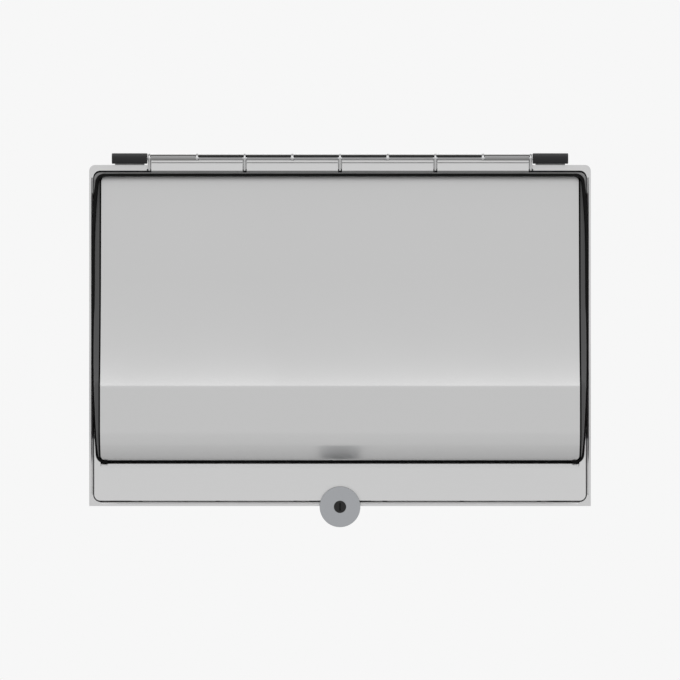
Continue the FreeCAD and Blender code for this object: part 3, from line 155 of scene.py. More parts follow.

# %% [markdown]
# ### Plastics, rubber and painted shade
# The end caps are glass-filled nylon in dark grey, with a faint gloss on their edges.  The hinge
# barrels are black acetal, which is a little waxy, and the sleeves beside them grey acetal.  The seal
# is carbon-black rubber, so dull that it reads as a gap; the same black also stands as painted shade
# in the grooves of the caps and under the hinge's lip.  The spindles are pale grey ABS.  The tops of
# the hinge's knuckles get a black painted shade, with a low shine.

# %% Caps, barrels, sleeves, seal, spindles and painted shade
NYLON = finish("moulded_nylon_dark_grey", "#1d1d1e", "#222223", 0.0, 0.28, 0.03, 0.5, 0.004,
               Specular_IOR_Level=1.0)
BLACK_ACETAL = finish("moulded_acetal_black", "#2a2a2b", "#2e2e2f", 0.0, 0.50, 0.03, 0.4, 0.005,
                      Specular_IOR_Level=0.15)
SLEEVE_ACETAL = finish("moulded_acetal_grey", "#868686", "#8a8a8a", 0.0, 0.45, 0.03, 0.5, 0.006)
# Black rubber of the seal and bumpers, also used as painted shade in the caps' grooves and under the hinge's lip
RUBBER_AND_SHADE = finish("moulded_rubber_black", "#050505", "#080808", 0.0, 0.72, 0.04, 0.5, 0.008,
                Specular_IOR_Level=0.15)
SPINDLE_ABS = finish("moulded_abs_light_grey", "#b4b4b2", "#b9b9b7", 0.0, 0.40, 0.03, 0.5, 0.006)
# Black painted shade for the tops of the knuckles, under the rail's lip
KNUCKLE_TOP_SHADE = finish("graphite_grease", "#161616", "#1c1c1c", 0.0, 0.5, 0.04, 0.4, 0.004)

# %% [markdown]
# ### Steel and cast metal
# Screws and the pin are zinc plated and quite bright.  The back plate and the arms are hot-dip
# galvanised, which leaves a patchy sheen.  Springs and tear bars are bare stainless.  The lock is a
# nickel plated zinc casting behind a satin disc, and its plug is plated black.

# %% Screws, back plate, springs and lock
ZINC = finish("zinc_plated_steel", "#b9babd", "#c0c1c3", 1.0, 0.32, 0.05, 0.8, 0.004)
GALVANISED = finish("galvanised_steel_sheet", "#a0a3a6", "#b6b8ba", 1.0, 0.45, 0.08, 2.5, 0.006)
STAINLESS = finish("stainless_spring_steel", "#c4c4c2", "#cacac8", 1.0, 0.26, 0.04, 0.5, 0.003)
NICKEL = finish("nickel_plated_zinc_casting", "#b8b3a8", "#c0bbb0", 1.0, 0.30, 0.05, 0.6, 0.004)
DISC_SATIN = finish("satin_nickel_disc", "#a5a7aa", "#a7a9ac", 1.0, 0.24, 0.02, 0.5, 0.002)
PLUG_BLACK = finish("black_plated_lock_plug", "#191919", "#1d1d1d", 0.4, 0.35, 0.04, 0.4, 0.003)
print("finishes", len(bpy.data.materials))

# %% [markdown]
# ## Taking a piece over from the engineered model
# A machined or moulded edge is never knife sharp: it has a small radius that catches the light.  One
# could redraw every piece, but the engineered solids already have the right shape.  So a piece is a
# copy of its solid with the loose triangles merged, flat areas joined up, and a bevel on its sharp
# edges.  Weighted normals then let the large faces win, so flat metal stays flat to the eye.  A flat
# area that runs all round an opening can fold over when it is joined up, so a few pieces keep their
# triangles.

# %% Make an object and turn its modifiers into a mesh
SHARP, FLAT = math.radians(32), math.radians(0.4)
WELD = 0.001 * MM


def as_object(name, mesh, material):
    """New object at the origin for a mesh in its final place, with one material."""
    mesh.materials.clear()
    mesh.materials.append(material)
    made = bpy.data.objects.new(name, mesh)
    bpy.context.scene.collection.objects.link(made)
    return made


def settle(made):
    """Turn the modifiers of an object into its plain mesh."""
    shape = bpy.data.meshes.new_from_object(made.evaluated_get(bpy.context.evaluated_depsgraph_get()))
    made.modifiers.clear()
    made.data = shape
    return made


def soften(made, radius_mm, steps=2):
    """Round the sharp edges of a closed shape by a small radius."""
    for face in made.data.polygons:
        face.use_smooth = True
    made.data.set_sharp_from_angle(angle=SHARP)
    bevel = made.modifiers.new("edge", "BEVEL")
    bevel.width = radius_mm * MM
    bevel.segments = steps
    bevel.limit_method = "ANGLE"
    bevel.angle_limit = SHARP
    bevel.use_clamp_overlap = True
    flat = made.modifiers.new("flat", "WEIGHTED_NORMAL")
    flat.weight = 100
    flat.keep_sharp = True
    return settle(made)


# %% Copy an engineered solid and hand the copy over
def body_of(node):
    """The moving body that a node belongs to, by the model's own list."""
    bodies = frame["record"]["behaviour"]["bodies"]
    return next(name for name, nodes in bodies.items() if node in nodes)


def hand_over(made, body, slot, *nodes):
    """Let a finished piece ride on its body, in place of the nodes that it stands for."""
    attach(made, body)
    if nodes:
        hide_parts(*nodes)
    print(made.name, "rides on", body, "with", len(made.data.polygons), "faces")


def merged(node):
    """Editable copy of an engineered solid, with its loose triangles joined."""
    shape = bmesh.new()
    shape.from_mesh(frame["nodes"][node].data)
    bmesh.ops.remove_doubles(shape, verts=shape.verts, dist=WELD)
    return shape


def as_mesh(shape, name):
    """Plain mesh from an editable shape, which is freed."""
    mesh = bpy.data.meshes.new(name)
    shape.to_mesh(mesh)
    shape.free()
    return mesh


def take_over(node, material, radius_mm, slot, join_flats=True):
    """Beveled copy of an engineered solid that stands for it and rides on its body.

    join_flats makes one face of each flat area, which a ring-shaped area doesn't survive.
    """
    shape = merged(node)
    if join_flats:
        bmesh.ops.dissolve_limit(shape, angle_limit=FLAT, verts=shape.verts, edges=shape.edges)
    made = soften(as_object(node + "_piece", as_mesh(shape, node), material), radius_mm)
    hand_over(made, body_of(node), slot, node)
    return made


# %% Give some faces of a piece another finish
def refinish(made, others, choice):
    """Share out the faces: choice gives the number of a finish, 0 being the first, then the others."""
    for material in others:
        made.data.materials.append(material)
    chosen = [int(choice(face)) for face in made.data.polygons]
    for face, number in zip(made.data.polygons, chosen):
        face.material_index = number
    print(made.name, "faces by finish", [chosen.count(number) for number in range(len(others) + 1)])


# %% [markdown]
# ## Casing and what stays on the wall
# On the real object the top and sides are one bent sheet 2.4 mm thick, and a separate plate closes
# the bottom.  Sheet metal is cut, then bent, so its edges are crisp with a radius of about 0.2 mm.
# Both are taken over, as are the back plate, the arms and the spindles inside: a redrawn copy would
# add nothing.

# %% Casing, bottom plate and the inside
take_over("casing", ANODISED, 0.2, "casing_metal")
take_over("bottom_plate", ANODISED, 0.2, "casing_metal", join_flats=False)
for node in ("back_plate", "arm_left", "arm_centre", "arm_right", "strike"):
    take_over(node, GALVANISED, 0.15, "galvanised_steel")
for side in ("left", "right"):
    take_over("spindle_sleeve_" + side, SPINDLE_ABS, 0.3, "spindle_plastic")
    take_over("spindle_plunger_" + side, SPINDLE_ABS, 0.3, "spindle_plastic")
take_over("door_bumpers", RUBBER_AND_SHADE, 0.2, "seal_rubber")

# %% [markdown]
# ## Frame of the hood
# Two rails make a stiff frame with the end caps, and a rubber ring seals it in the casing.  The
# rails are folded strips whose folds have a radius of about half a millimetre, which catches light
# along the top of the lower rail.  The faces of the top rail that look forward get a darker grey of
# painted shade.

# %% Rails and seal
SHADED_FACING = -0.6
top_rail = take_over("top_rail", RAIL_ANODISED, 0.3, "rail_metal")
# The faces of the top rail that look forward get the grey of painted shade
refinish(top_rail, [PAINTED_SHADE_GREY], lambda face: face.normal.y < SHADED_FACING)
take_over("bottom_rail", RAIL_ANODISED, 0.45, "rail_metal")
take_over("hood_seal", RUBBER_AND_SHADE, 0.3, "seal_rubber", join_flats=False)

# %% [markdown]
# ## End caps
# The caps are moulded in dark nylon, with a groove beside the hood and an outer face that bows out to
# the casing.  The engineered solids carry that shape.  Their rims run out to almost nothing at both
# ends, so their edges get only a tiny radius.  The groove beside the hood's edge gets black painted
# shade: faces that reach no further out than the hood's edge plus the groove's width, and that look
# forward, get the black finish.

# %% Caps, with painted shade in their grooves
hood_low, hood_high = (Vector(corner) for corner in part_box("hood_panel"))
GROOVE_WIDE, GROOVE_SHADE_FACING = 1.0 * MM, -0.2


def in_shaded_groove(cap, face):
    """True for a face that gets the painted shade of the groove, by its furthest corner and the way it looks."""
    reach = max(abs(cap.data.vertices[corner].co.x) for corner in face.vertices)
    return reach < hood_high.x + GROOVE_WIDE and face.normal.y < GROOVE_SHADE_FACING


for side in ("left", "right"):
    cap = take_over("end_cap_" + side, NYLON, 0.05, "cap_plastic", join_flats=False)
    # Faces in the groove beside the hood get black painted shade
    refinish(cap, [RUBBER_AND_SHADE], lambda face: in_shaded_groove(cap, face))

# %% [markdown]
# ## Node trees that make pieces
# Geometry Nodes suit what repeats or follows a rule: change one input and the piece is made again.
# A tree is built here with named inputs, runs once on an object, and its result is kept as a plain
# mesh, because the exported part can't hold a live tree.

# %% Start a tree, end it and run it
def new_tree(name, *sizes):
    """Empty tree whose inputs are (name, kind) pairs, with the sockets of its input node."""
    tree = bpy.data.node_groups.new(name, "GeometryNodeTree")
    tree.interface.new_socket("Geometry", in_out="OUTPUT", socket_type="NodeSocketGeometry")
    for label, kind in sizes:
        tree.interface.new_socket(label, in_out="INPUT", socket_type="NodeSocket" + kind)
    return tree, add(tree, "NodeGroupInput").outputs


def close_tree(tree, shape, material):
    """End a tree: real geometry instead of instances, with its material."""
    real = add(tree, "GeometryNodeRealizeInstances", {}, {"Geometry": shape})
    dressed = add(tree, "GeometryNodeSetMaterial", {"Material": material},
                  {"Geometry": real.outputs[0]})
    add(tree, "NodeGroupOutput", {}, {0: dressed.outputs[0]})


def run_tree(name, tree, material, mesh=None, **sizes):
    """Object whose mesh is what the tree makes from these sizes (underscores stand for spaces)."""
    made = as_object(name, mesh or bpy.data.meshes.new(name), material)
    modifier = made.modifiers.new("tree", "NODES")
    modifier.node_group = tree
    for item in tree.interface.items_tree:
        value = sizes.get(item.name.replace(" ", "_"))
        if item.in_out == "INPUT" and value is not None:
            modifier[item.identifier] = value
    return settle(made)


def reckon(tree, operation, *values):
    """Output of a math node on numbers and sockets."""
    numbers = {i: v for i, v in enumerate(values) if isinstance(v, (int, float))}
    sockets = {i: v for i, v in enumerate(values) if i not in numbers}
    return add(tree, "ShaderNodeMath", {"operation": operation, **numbers}, sockets).outputs[0]


def along_x(tree, x):
    """Vector that points along X by the value of a socket."""
    return add(tree, "ShaderNodeCombineXYZ", {}, {"X": x}).outputs[0]


# %% [markdown]
# ## Hood sheet
# The hood is one aluminium sheet, 1.5 mm thick, bent along lines that run across it: it leans back
# 5 degrees at the top, sweeps forward in a hollow curve to a crease, drops straight, rolls under to a
# sloping face and ends in a tight heel.  It could be modelled by moving vertices, but its shape is a
# rule: one side line swept across the width.  So the tree draws that line as arcs and straight runs
# and sweeps it, and rounds the sheet's corners by drawing rows near its ends inwards.

# %% Sizes of the side line
LEAN, CREASE_LEAN, UNDER_TURN = (math.radians(a) for a in (5.0, 28.0, 51.0))
RECESS, BEND_RISE, CREASE_RISE = (v * MM for v in (7.0, 107.8, 44.3))
NOSE_R, UNDER_FLAT, HEEL_R = (v * MM for v in (11.4, 12.2, 5.5))
SHEET, RETURN, RETURN_UNDER = 1.5 * MM, 4.0 * MM, 7.0 * MM
HOOD_CORNER = 3.0 * MM
ROW_STEP, ARC_POINTS, LINE_WELD = 0.8 * MM, 64, 0.02 * MM


def on_arc(centre, radius, turn):
    """Point on a side arc: turn 0 faces the front, a quarter turn faces down."""
    return centre + Vector((0, -radius * math.cos(turn), -radius * math.sin(turn)))


# %% Points of the side line
front_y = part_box("bottom_rail")[0][1]
top = Vector((0, front_y + RECESS, hood_high.z))
bend_z, crease_z = hood_low.z + BEND_RISE, hood_low.z + CREASE_RISE
bend = Vector((0, top.y - (top.z - bend_z) * math.tan(LEAN), bend_z))
hollow_r = (bend_z - crease_z) / (math.sin(CREASE_LEAN) - math.sin(LEAN))
hollow = bend - Vector((0, hollow_r * math.cos(LEAN), -hollow_r * math.sin(LEAN)))
hollow_middle, crease = (hollow + Vector((0, hollow_r * math.cos(turn), -hollow_r * math.sin(turn)))
                         for turn in ((LEAN + CREASE_LEAN) / 2, CREASE_LEAN))
flat_run = UNDER_FLAT * Vector((0, math.sin(UNDER_TURN), -math.cos(UNDER_TURN)))
heel_shift = on_arc(flat_run, NOSE_R - HEEL_R, UNDER_TURN)
nose_centre = Vector((0, crease.y + NOSE_R, hood_low.z + HEEL_R - heel_shift.z))
heel_centre = nose_centre + heel_shift
under = on_arc(heel_centre, HEEL_R, math.pi / 2)
hood_line = {
    "Top_return": top + Vector((0, RETURN, 0)), "Top": top, "Bend": bend, "Hollow": hollow_middle,
    "Crease": crease, "Nose": on_arc(nose_centre, NOSE_R, 0),
    "Nose_middle": on_arc(nose_centre, NOSE_R, UNDER_TURN / 2),
    "Knee": on_arc(nose_centre, NOSE_R, UNDER_TURN),
    "Heel": on_arc(heel_centre, HEEL_R, UNDER_TURN),
    "Heel_middle": on_arc(heel_centre, HEEL_R, (UNDER_TURN + math.pi / 2) / 2),
    "Under": under, "Under_return": under + Vector((0, RETURN_UNDER, 0)),
}
for label, point in hood_line.items():
    print(f"{label:13s} y {point.y / MM:8.2f}  z {point.z / MM:8.2f} mm")

# %% Tree, first half: draw the line and sweep it
tree, sizes = new_tree("hood_sheet", *[(label.replace("_", " "), "Vector") for label in hood_line],
                       ("Half width", "Float"), ("Corner", "Float"), ("Step", "Float"))
runs = []
for a, b in (("Top return", "Top"), ("Top", "Bend"), ("Crease", "Nose"), ("Knee", "Heel"),
             ("Under", "Under return")):
    runs.append(add(tree, "GeometryNodeCurvePrimitiveLine", {}, {"Start": sizes[a], "End": sizes[b]}))
for a, m, b in (("Bend", "Hollow", "Crease"), ("Nose", "Nose middle", "Knee"),
                ("Heel", "Heel middle", "Under")):
    runs.append(add(tree, "GeometryNodeCurveArc", {"mode": "POINTS", "Resolution": ARC_POINTS},
                    {"Start": sizes[a], "Middle": sizes[m], "End": sizes[b]}))
line = add(tree, "GeometryNodeJoinGeometry")
for run in reversed(runs):
    tree.links.new(run.outputs[0], line.inputs[0])
line = add(tree, "GeometryNodeResampleCurve", {"mode": "LENGTH"},
           {"Curve": line.outputs[0], "Length": sizes["Step"]})
line = add(tree, "GeometryNodeCurveToMesh", {}, {"Curve": line.outputs[0]})
line = add(tree, "GeometryNodeMergeByDistance", {"Distance": LINE_WELD}, {"Geometry": line.outputs[0]})
shifted = add(tree, "GeometryNodeSetPosition", {},
              {"Geometry": line.outputs[0], "Offset": along_x(tree, sizes["Half width"])})
across = along_x(tree, reckon(tree, "MULTIPLY", sizes["Half width"], -2.0))
swept = add(tree, "GeometryNodeExtrudeMesh", {"mode": "EDGES"},
            {"Mesh": shifted.outputs[0], "Offset": across})

# %% Tree, second half: round the four corners
place = add(tree, "GeometryNodeInputPosition").outputs[0]
height, high_end, low_end = (add(tree, "ShaderNodeSeparateXYZ", {}, {0: source}).outputs["Z"]
                             for source in (place, sizes["Top"], sizes["Under"]))
near = reckon(tree, "MINIMUM", reckon(tree, "SUBTRACT", high_end, height),
              reckon(tree, "SUBTRACT", height, low_end))
near = reckon(tree, "MINIMUM", near, sizes["Corner"])
rise = reckon(tree, "SUBTRACT", sizes["Corner"], near)
left = reckon(tree, "SUBTRACT", reckon(tree, "MULTIPLY", sizes["Corner"], sizes["Corner"]),
              reckon(tree, "MULTIPLY", rise, rise))
lost = reckon(tree, "SUBTRACT", sizes["Corner"], reckon(tree, "SQRT", left))
kept = reckon(tree, "DIVIDE", reckon(tree, "SUBTRACT", sizes["Half width"], lost), sizes["Half width"])
shrink = add(tree, "ShaderNodeCombineXYZ", {"Y": 1.0, "Z": 1.0}, {"X": kept})
drawn_in = add(tree, "ShaderNodeVectorMath", {"operation": "MULTIPLY"},
               {0: place, 1: shrink.outputs[0]})
rounded = add(tree, "GeometryNodeSetPosition", {},
              {"Geometry": swept.outputs[0], "Position": drawn_in.outputs[0]})
close_tree(tree, rounded.outputs[0], HOOD_ANODISED)

# %% Sweep it, turn its front outwards, give it its thickness and round its edges
hood = run_tree("hood_sheet", tree, HOOD_ANODISED, **hood_line, Half_width=hood_high.x,
                Corner=HOOD_CORNER, Step=ROW_STEP)
shape = bmesh.new()
shape.from_mesh(hood.data)
bmesh.ops.recalc_face_normals(shape, faces=shape.faces)
if sum(face.normal.y * face.calc_area() for face in shape.faces) > 0:
    bmesh.ops.reverse_faces(shape, faces=shape.faces)
shape.to_mesh(hood.data)
shape.free()
wall = hood.modifiers.new("sheet", "SOLIDIFY")
wall.thickness = SHEET
wall.offset = -1
soften(settle(hood), 0.12)
hand_over(hood, body_of("hood_panel"), "hood_metal", "hood_panel")

# %% [markdown]
# ## Hinge
# The hinge is a long comb.  A fixed rail on the casing has nine ribs, every second one of which
# reaches down as a post.  Leaves on the hood's top rail have knuckles between them, and one pin runs
# through all.  The rail's back is a bent strip, and under its lip lies a black strip that is painted
# shade over the knuckles: both are drawn as a side outline and pulled across.  The ribs repeat, so a
# tree sets a model on every place.

# %% Pull a side outline across the width
axis = Vector(next(j["pos_m"] for j in frame["joints"] if j["name"] == "front_hinge"))
rail_low, rail_high = (Vector(corner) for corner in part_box("hinge_rail"))
foot_low = (rail_low.z - axis.z) / MM


def pulled(name, outline, x0, x1, material):
    """Prism from (forward, up) points in millimetres round the hinge axis."""
    shape = bmesh.new()
    near, far = ([shape.verts.new((x, axis.y - f * MM, axis.z + u * MM)) for f, u in outline]
                 for x in (x0, x1))
    for i in range(len(outline)):
        shape.faces.new((near[i - 1], near[i], far[i], far[i - 1]))
    shape.faces.new(near)
    shape.faces.new(far)
    bmesh.ops.recalc_face_normals(shape, faces=shape.faces)
    return as_object(name, as_mesh(shape, name), material)


def round_front(radius, start, stop, steps=14):
    """Points of an arc round the axis, from one angle to another, 0 being straight ahead."""
    turns = [math.radians(start + (stop - start) * i / steps) for i in range(steps + 1)]
    return [(radius * math.cos(t), radius * math.sin(t)) for t in turns]


print("hinge axis at height", round(axis.z / MM, 2), "mm, posts reach down", round(foot_low, 2), "mm")

# %% Back of the rail, black strip of painted shade, one rib and one post
back_line = [(-14.0, -3.8), (-2.2, -3.8), (-2.2, 2.0), (0.2, 2.0),
             (0.2, 2.8), (-3.2, 2.8), (-3.2, -2.8), (-14.0, -2.8)]
shade_strip_line = [(-2.15, -0.6), (-1.7, -0.6), (-1.7, 1.4), (0.15, 1.45), (0.15, 1.95), (-2.15, 1.95)]
rib_line = [(-2.1, 2.8), (-2.1, -1.5), *round_front(1.5, -90, 82.3), (0.2, 2.8)]
post_line = [(-2.1, 2.8), (-2.1, -3.8), (-1.0, -3.8), (-1.0, foot_low), (1.3, foot_low),
             *round_front(1.5, -29.9, 82.3), (0.2, 2.8)]
RIB_WIDE, POST_WIDE, SHADE_STRIP_INSET = 1.5 * MM, 1.2 * MM, 0.5 * MM
rail_back = soften(pulled("hinge_rail_back", back_line, rail_low.x, rail_high.x, RAIL_ANODISED), 0.15)
hand_over(rail_back, "housing", "rail_metal", "hinge_rail")
# Black strip under the rail's lip, put there as painted shade over the knuckles
shade_strip = pulled("hinge_wiper", shade_strip_line, rail_low.x + SHADE_STRIP_INSET, rail_high.x - SHADE_STRIP_INSET, RUBBER_AND_SHADE)
hand_over(shade_strip, "housing", "seal_rubber", "hinge_rail")
rib = soften(pulled("rib", rib_line, -RIB_WIDE / 2, RIB_WIDE / 2, RIB_BLASTED), 0.15)
post = soften(pulled("post", post_line, -POST_WIDE / 2, POST_WIDE / 2, RIB_BLASTED), 0.15)

# %% Set a rib or a post on each of nine places
tree, sizes = new_tree("hinge_ribs", ("Rib", "Object"), ("Post", "Object"), ("Half span", "Float"),
                       ("Places", "Int"))
start = along_x(tree, reckon(tree, "MULTIPLY", sizes["Half span"], -1.0))
places = add(tree, "GeometryNodeMeshLine", {"mode": "END_POINTS"},
             {"Count": sizes["Places"], "Start Location": start,
              "Offset": along_x(tree, sizes["Half span"])})
odd = reckon(tree, "MODULO", add(tree, "GeometryNodeInputIndex").outputs[0], 2.0)
made = add(tree, "GeometryNodeJoinGeometry")
for label, chosen in (("Rib", odd), ("Post", reckon(tree, "SUBTRACT", 1.0, odd))):
    model = add(tree, "GeometryNodeObjectInfo", {"transform_space": "ORIGINAL"},
                {"Object": sizes[label]})
    copies = add(tree, "GeometryNodeInstanceOnPoints", {},
                 {"Points": places.outputs[0], "Selection": chosen,
                  "Instance": model.outputs["Geometry"]})
    tree.links.new(copies.outputs[0], made.inputs[0])
close_tree(tree, made.outputs[0], RIB_BLASTED)

POST_INSET, PLACES = 1.0 * MM, 9
ribs = run_tree("hinge_ribs", tree, RIB_BLASTED, Rib=rib, Post=post, Half_span=rail_high.x - POST_INSET,
                Places=PLACES)
hand_over(ribs, "housing", "rail_metal", "hinge_rail")
for model in (rib, post):
    bpy.data.objects.remove(model)

# %% [markdown]
# The leaves come from the engineered model.  Their knuckles are blasted, with a darker grey than the
# plate under them, the foot behind the pin gets a darker grey still, and the tops of the knuckles
# black: these three darker tones are painted shade.  The place of a face beside the hinge's axis tells
# which of these it is, and is quicker to ask for than to select faces by hand.

# %% Leaves, with painted shade on the knuckles, the foot and the knuckles' tops
KNUCKLE_R, LEDGE_TOP = 1.25 * MM, -1.15 * MM
# Limits that choose the faces of painted shade: behind the pin for the foot, above the axis for the knuckles' tops
FOOT_SETBACK, KNUCKLE_TOP_SHADE_LOW = 0.3 * MM, 0.55 * MM


def leaf_finish(face):
    """0 for the plate of a leaf, and painted shade: 1 for a knuckle, 2 for the foot, 3 for the knuckles' tops."""
    out = face.center - axis
    if out.y > FOOT_SETBACK:
        return 2
    if out.z > KNUCKLE_TOP_SHADE_LOW:
        return 3
    return 1 if math.hypot(out.y, out.z) < KNUCKLE_R and out.z > LEDGE_TOP else 0


for number in range(1, 5):
    leaf = take_over(f"hinge_leaf_{number}", RAIL_ANODISED, 0.12, "rail_metal")
    # Knuckles, feet and the knuckles' tops get painted shade
    refinish(leaf, [KNUCKLE_BLASTED_SHADED, PAINTED_SHADE_GREY, KNUCKLE_TOP_SHADE], leaf_finish)

# %% Sleeves, barrels, saddles and pin
for side in ("left", "right"):
    take_over("damper_sleeve_" + side, SLEEVE_ACETAL, 0.12, "sleeve_plastic")
    take_over("damper_" + side, BLACK_ACETAL, 0.2, "damper_plastic")
    take_over("damper_saddle_" + side, SLEEVE_ACETAL, 0.2, "sleeve_plastic")
take_over("hinge_pin", ZINC, 0.1, "plated_steel")

# %% [markdown]
# ## Lock
# A satin disc covers the lock in the middle of the bottom rail, with a black plug that takes the key.
# Behind it are the barrel, its nut, the cam and its screw.  All are turned or cast shapes with small
# edges, so they are taken over with bevels to match.

# %% Disc, plug and what is behind them
take_over("lock_disc", DISC_SATIN, 0.25, "disc_metal")
take_over("lock_plug", PLUG_BLACK, 0.12, "plug_black")
for node in ("lock_barrel", "lock_nut", "lock_cam"):
    take_over(node, NICKEL, 0.15, "lock_metal")

# %% [markdown]
# ## Screws and rivets
# The box is held together by more than fifty small fasteners.  Each could be copied by hand, but a
# tree that sets one model on many seats does it at once: a seat is a point that knows which way its
# screw drives in.  The seats come from the engineered screws, one for each loose part.

# %% Measure the engineered screws
SLICE, HEAD_EDGE = 0.2 * MM, 0.97


def loose_parts(node):
    """Vertex positions of each separate solid in an engineered node, in the same order every time."""
    shape = merged(node)
    left = dict.fromkeys(shape.verts)
    while left:
        open_ends = [left.popitem()[0]]
        part = []
        while open_ends:
            vert = open_ends.pop()
            part.append(vert.co.copy())
            for edge in vert.link_edges:
                other = edge.other_vert(vert)
                if other in left:
                    del left[other]
                    open_ends.append(other)
        yield part
    shape.free()


def measured(part, aim):
    """Head centre, aim, length, head radius, head height and shank radius along one direction."""
    along = [point.dot(aim) for point in part]
    tip = [point for point, a in zip(part, along) if a > max(along) - SLICE]
    core = sum(tip, Vector()) / len(tip)
    out = [(point - core - aim * (point - core).dot(aim)).length for point in part]
    shank_r = max(r for a, r in zip(along, out) if a > max(along) - SLICE)
    head = max(a for a, r in zip(along, out) if r > HEAD_EDGE * max(out)) - min(along)
    length = max(along) - min(along)
    return core - aim * (core.dot(aim) - min(along)), aim, length, max(out), head, shank_r


def seats(node, aims):
    """Measures of every screw of a node, each along the aim that makes it thinnest."""
    for part in loose_parts(node):
        tries = [measured(part, Vector(aim).normalized()) for aim in aims]
        yield min(tries, key=lambda found: found[3] + found[5])


# %% [markdown]
# A screw is turned on a lathe, so its model is a side line carried round its axis: a low pan head or
# a cone that sits flush, a socket for a hexagon key, and rings for the thread.  A rivet only has a
# dome.  The true thread is finer, but rings half a millimetre apart already read as one.

# %% Side lines of a screw and a rivet
THREAD, THREAD_DEPTH = 0.6 * MM, 0.12
SUNK = 0.1
PAN_HEAD = ((0.78, 0.0), (0.93, 0.12), (1.0, 0.4), (1.0, 1.0))
DOME = (5, 20, 35, 50, 65, 80, 90)


def screw_line(length, head_r, head, shank_r):
    """(radius, height) points of a screw, outwards from its socket and down its thread."""
    if head < SUNK * head_r:
        line, z = [(head_r, 0)], shank_r - head_r
    else:
        line, z = [(wide * head_r, -deep * head) for wide, deep in PAN_HEAD], -head
    while z - THREAD > -length + WELD:
        line += [(shank_r, z), (shank_r * (1 - THREAD_DEPTH), z - THREAD / 2)]
        z -= THREAD
    return line + [(shank_r, z), (shank_r, -length)]


def rivet_line(length, head_r, head, shank_r):
    """(radius, height) points of a domed rivet."""
    dome = [(head_r * math.sin(math.radians(t)), head * (math.cos(math.radians(t)) - 1)) for t in DOME]
    return dome + [(shank_r, -head), (shank_r, -length)]


# %% Turn a side line into a model
SIDES = 24


def ring(shape, radius, z, flat=False):
    """Ring of points, round or pressed on to a hexagon."""
    points = []
    for i in range(SIDES):
        t = 2 * math.pi * i / SIDES
        near = (t + math.pi / 6) % (math.pi / 3) - math.pi / 6
        r = radius * math.cos(math.pi / 6) / math.cos(near) if flat else radius
        points.append(shape.verts.new((r * math.cos(t), r * math.sin(t), z)))
    return points


def turned(name, line, socket_r=0.0):
    """Model along -Z from its side line, with a six-sided socket where one is asked for."""
    shape = bmesh.new()
    depths = (-socket_r, 0) if socket_r else ()
    loops = [ring(shape, socket_r, z, flat=True) for z in depths]
    loops += [ring(shape, radius, z) for radius, z in line]
    for a, b in zip(loops, loops[1:]):
        for i in range(SIDES):
            j = (i + 1) % SIDES
            shape.faces.new((a[i], a[j], b[j], b[i]))
    shape.faces.new(loops[0])
    shape.faces.new(loops[-1])
    bmesh.ops.recalc_face_normals(shape, faces=shape.faces)
    mesh = as_mesh(shape, name)
    for face in mesh.polygons:
        face.use_smooth = True
    mesh.set_sharp_from_angle(angle=SHARP)
    return as_object(name, mesh, ZINC)


# %% Tree that sets a model on its seats
screw_tree, sizes = new_tree("screws_on_seats", ("Seats", "Geometry"), ("Model", "Object"))
model = add(screw_tree, "GeometryNodeObjectInfo", {"transform_space": "ORIGINAL"},
            {"Object": sizes["Model"]})
aim = add(screw_tree, "GeometryNodeInputNamedAttribute", {"data_type": "FLOAT_VECTOR", "Name": "aim"})
turn = add(screw_tree, "FunctionNodeAlignRotationToVector", {"axis": "Z"}, {"Vector": aim.outputs[0]})
copies = add(screw_tree, "GeometryNodeInstanceOnPoints", {},
             {"Points": sizes["Seats"], "Instance": model.outputs["Geometry"],
              "Rotation": turn.outputs[0]})
close_tree(screw_tree, copies.outputs[0], ZINC)

# %% Set a node's screws, one set for each size
SOCKET, ALIKE = 0.5, 0.25 * MM


def fasten(node, *aims, rivets=False):
    """Screws or rivets of one node on the seats of the engineered ones, in sets that are alike."""
    kinds = {}
    for centre, aim, *sizes in seats(node, aims):
        kinds.setdefault(tuple(round(size / ALIKE) for size in sizes), []).append((centre, aim, sizes))
    for number, kind in enumerate(kinds.values()):
        sizes = kind[0][2]
        print(len(kind), "of", node, "in mm", [round(size / MM, 2) for size in sizes])
        if rivets:
            model = turned(node + "_model", rivet_line(*sizes))
        else:
            model = turned(node + "_model", screw_line(*sizes), SOCKET * sizes[1])
        points = bpy.data.meshes.new(node + "_seats")
        points.from_pydata([centre for centre, _, _ in kind], [], [])
        field = points.attributes.new("aim", "FLOAT_VECTOR", "POINT")
        for item, (_, aim, _) in zip(field.data, kind):
            item.vector = -aim
        made = run_tree(f"{node}_set_{number + 1}", screw_tree, ZINC, mesh=points, Model=model)
        bpy.data.objects.remove(model)
        hand_over(made, body_of(node), "plated_steel", node)


LEFT, RIGHT, UP, DOWN = (-1, 0, 0), (1, 0, 0), (0, 0, 1), (0, 0, -1)
BACK, FORWARD = (0, 1, 0), (0, -1, 0)
fasten("back_screws", RIGHT, LEFT)
fasten("bottom_screws", UP)
fasten("arm_screws", BACK)
for node in ("strike_screws", "hinge_rail_screws", "saddle_screws", "leaf_screws"):
    fasten(node, DOWN)
fasten("tear_bar_rivets", DOWN, rivets=True)
fasten("rail_screws", FORWARD)
fasten("cam_screw", FORWARD)
fasten("hood_screws", FORWARD, (0, -math.cos(LEAN), math.sin(LEAN)))

# %% [markdown]
# ## Tear bars
# At each paper exit a thin steel strip ends in saw teeth.  A row of teeth is a zigzag line, so the
# tree makes a line of points, pulls a band out of it and pushes every second point of one edge.  A
# modifier then gives the band its thickness.

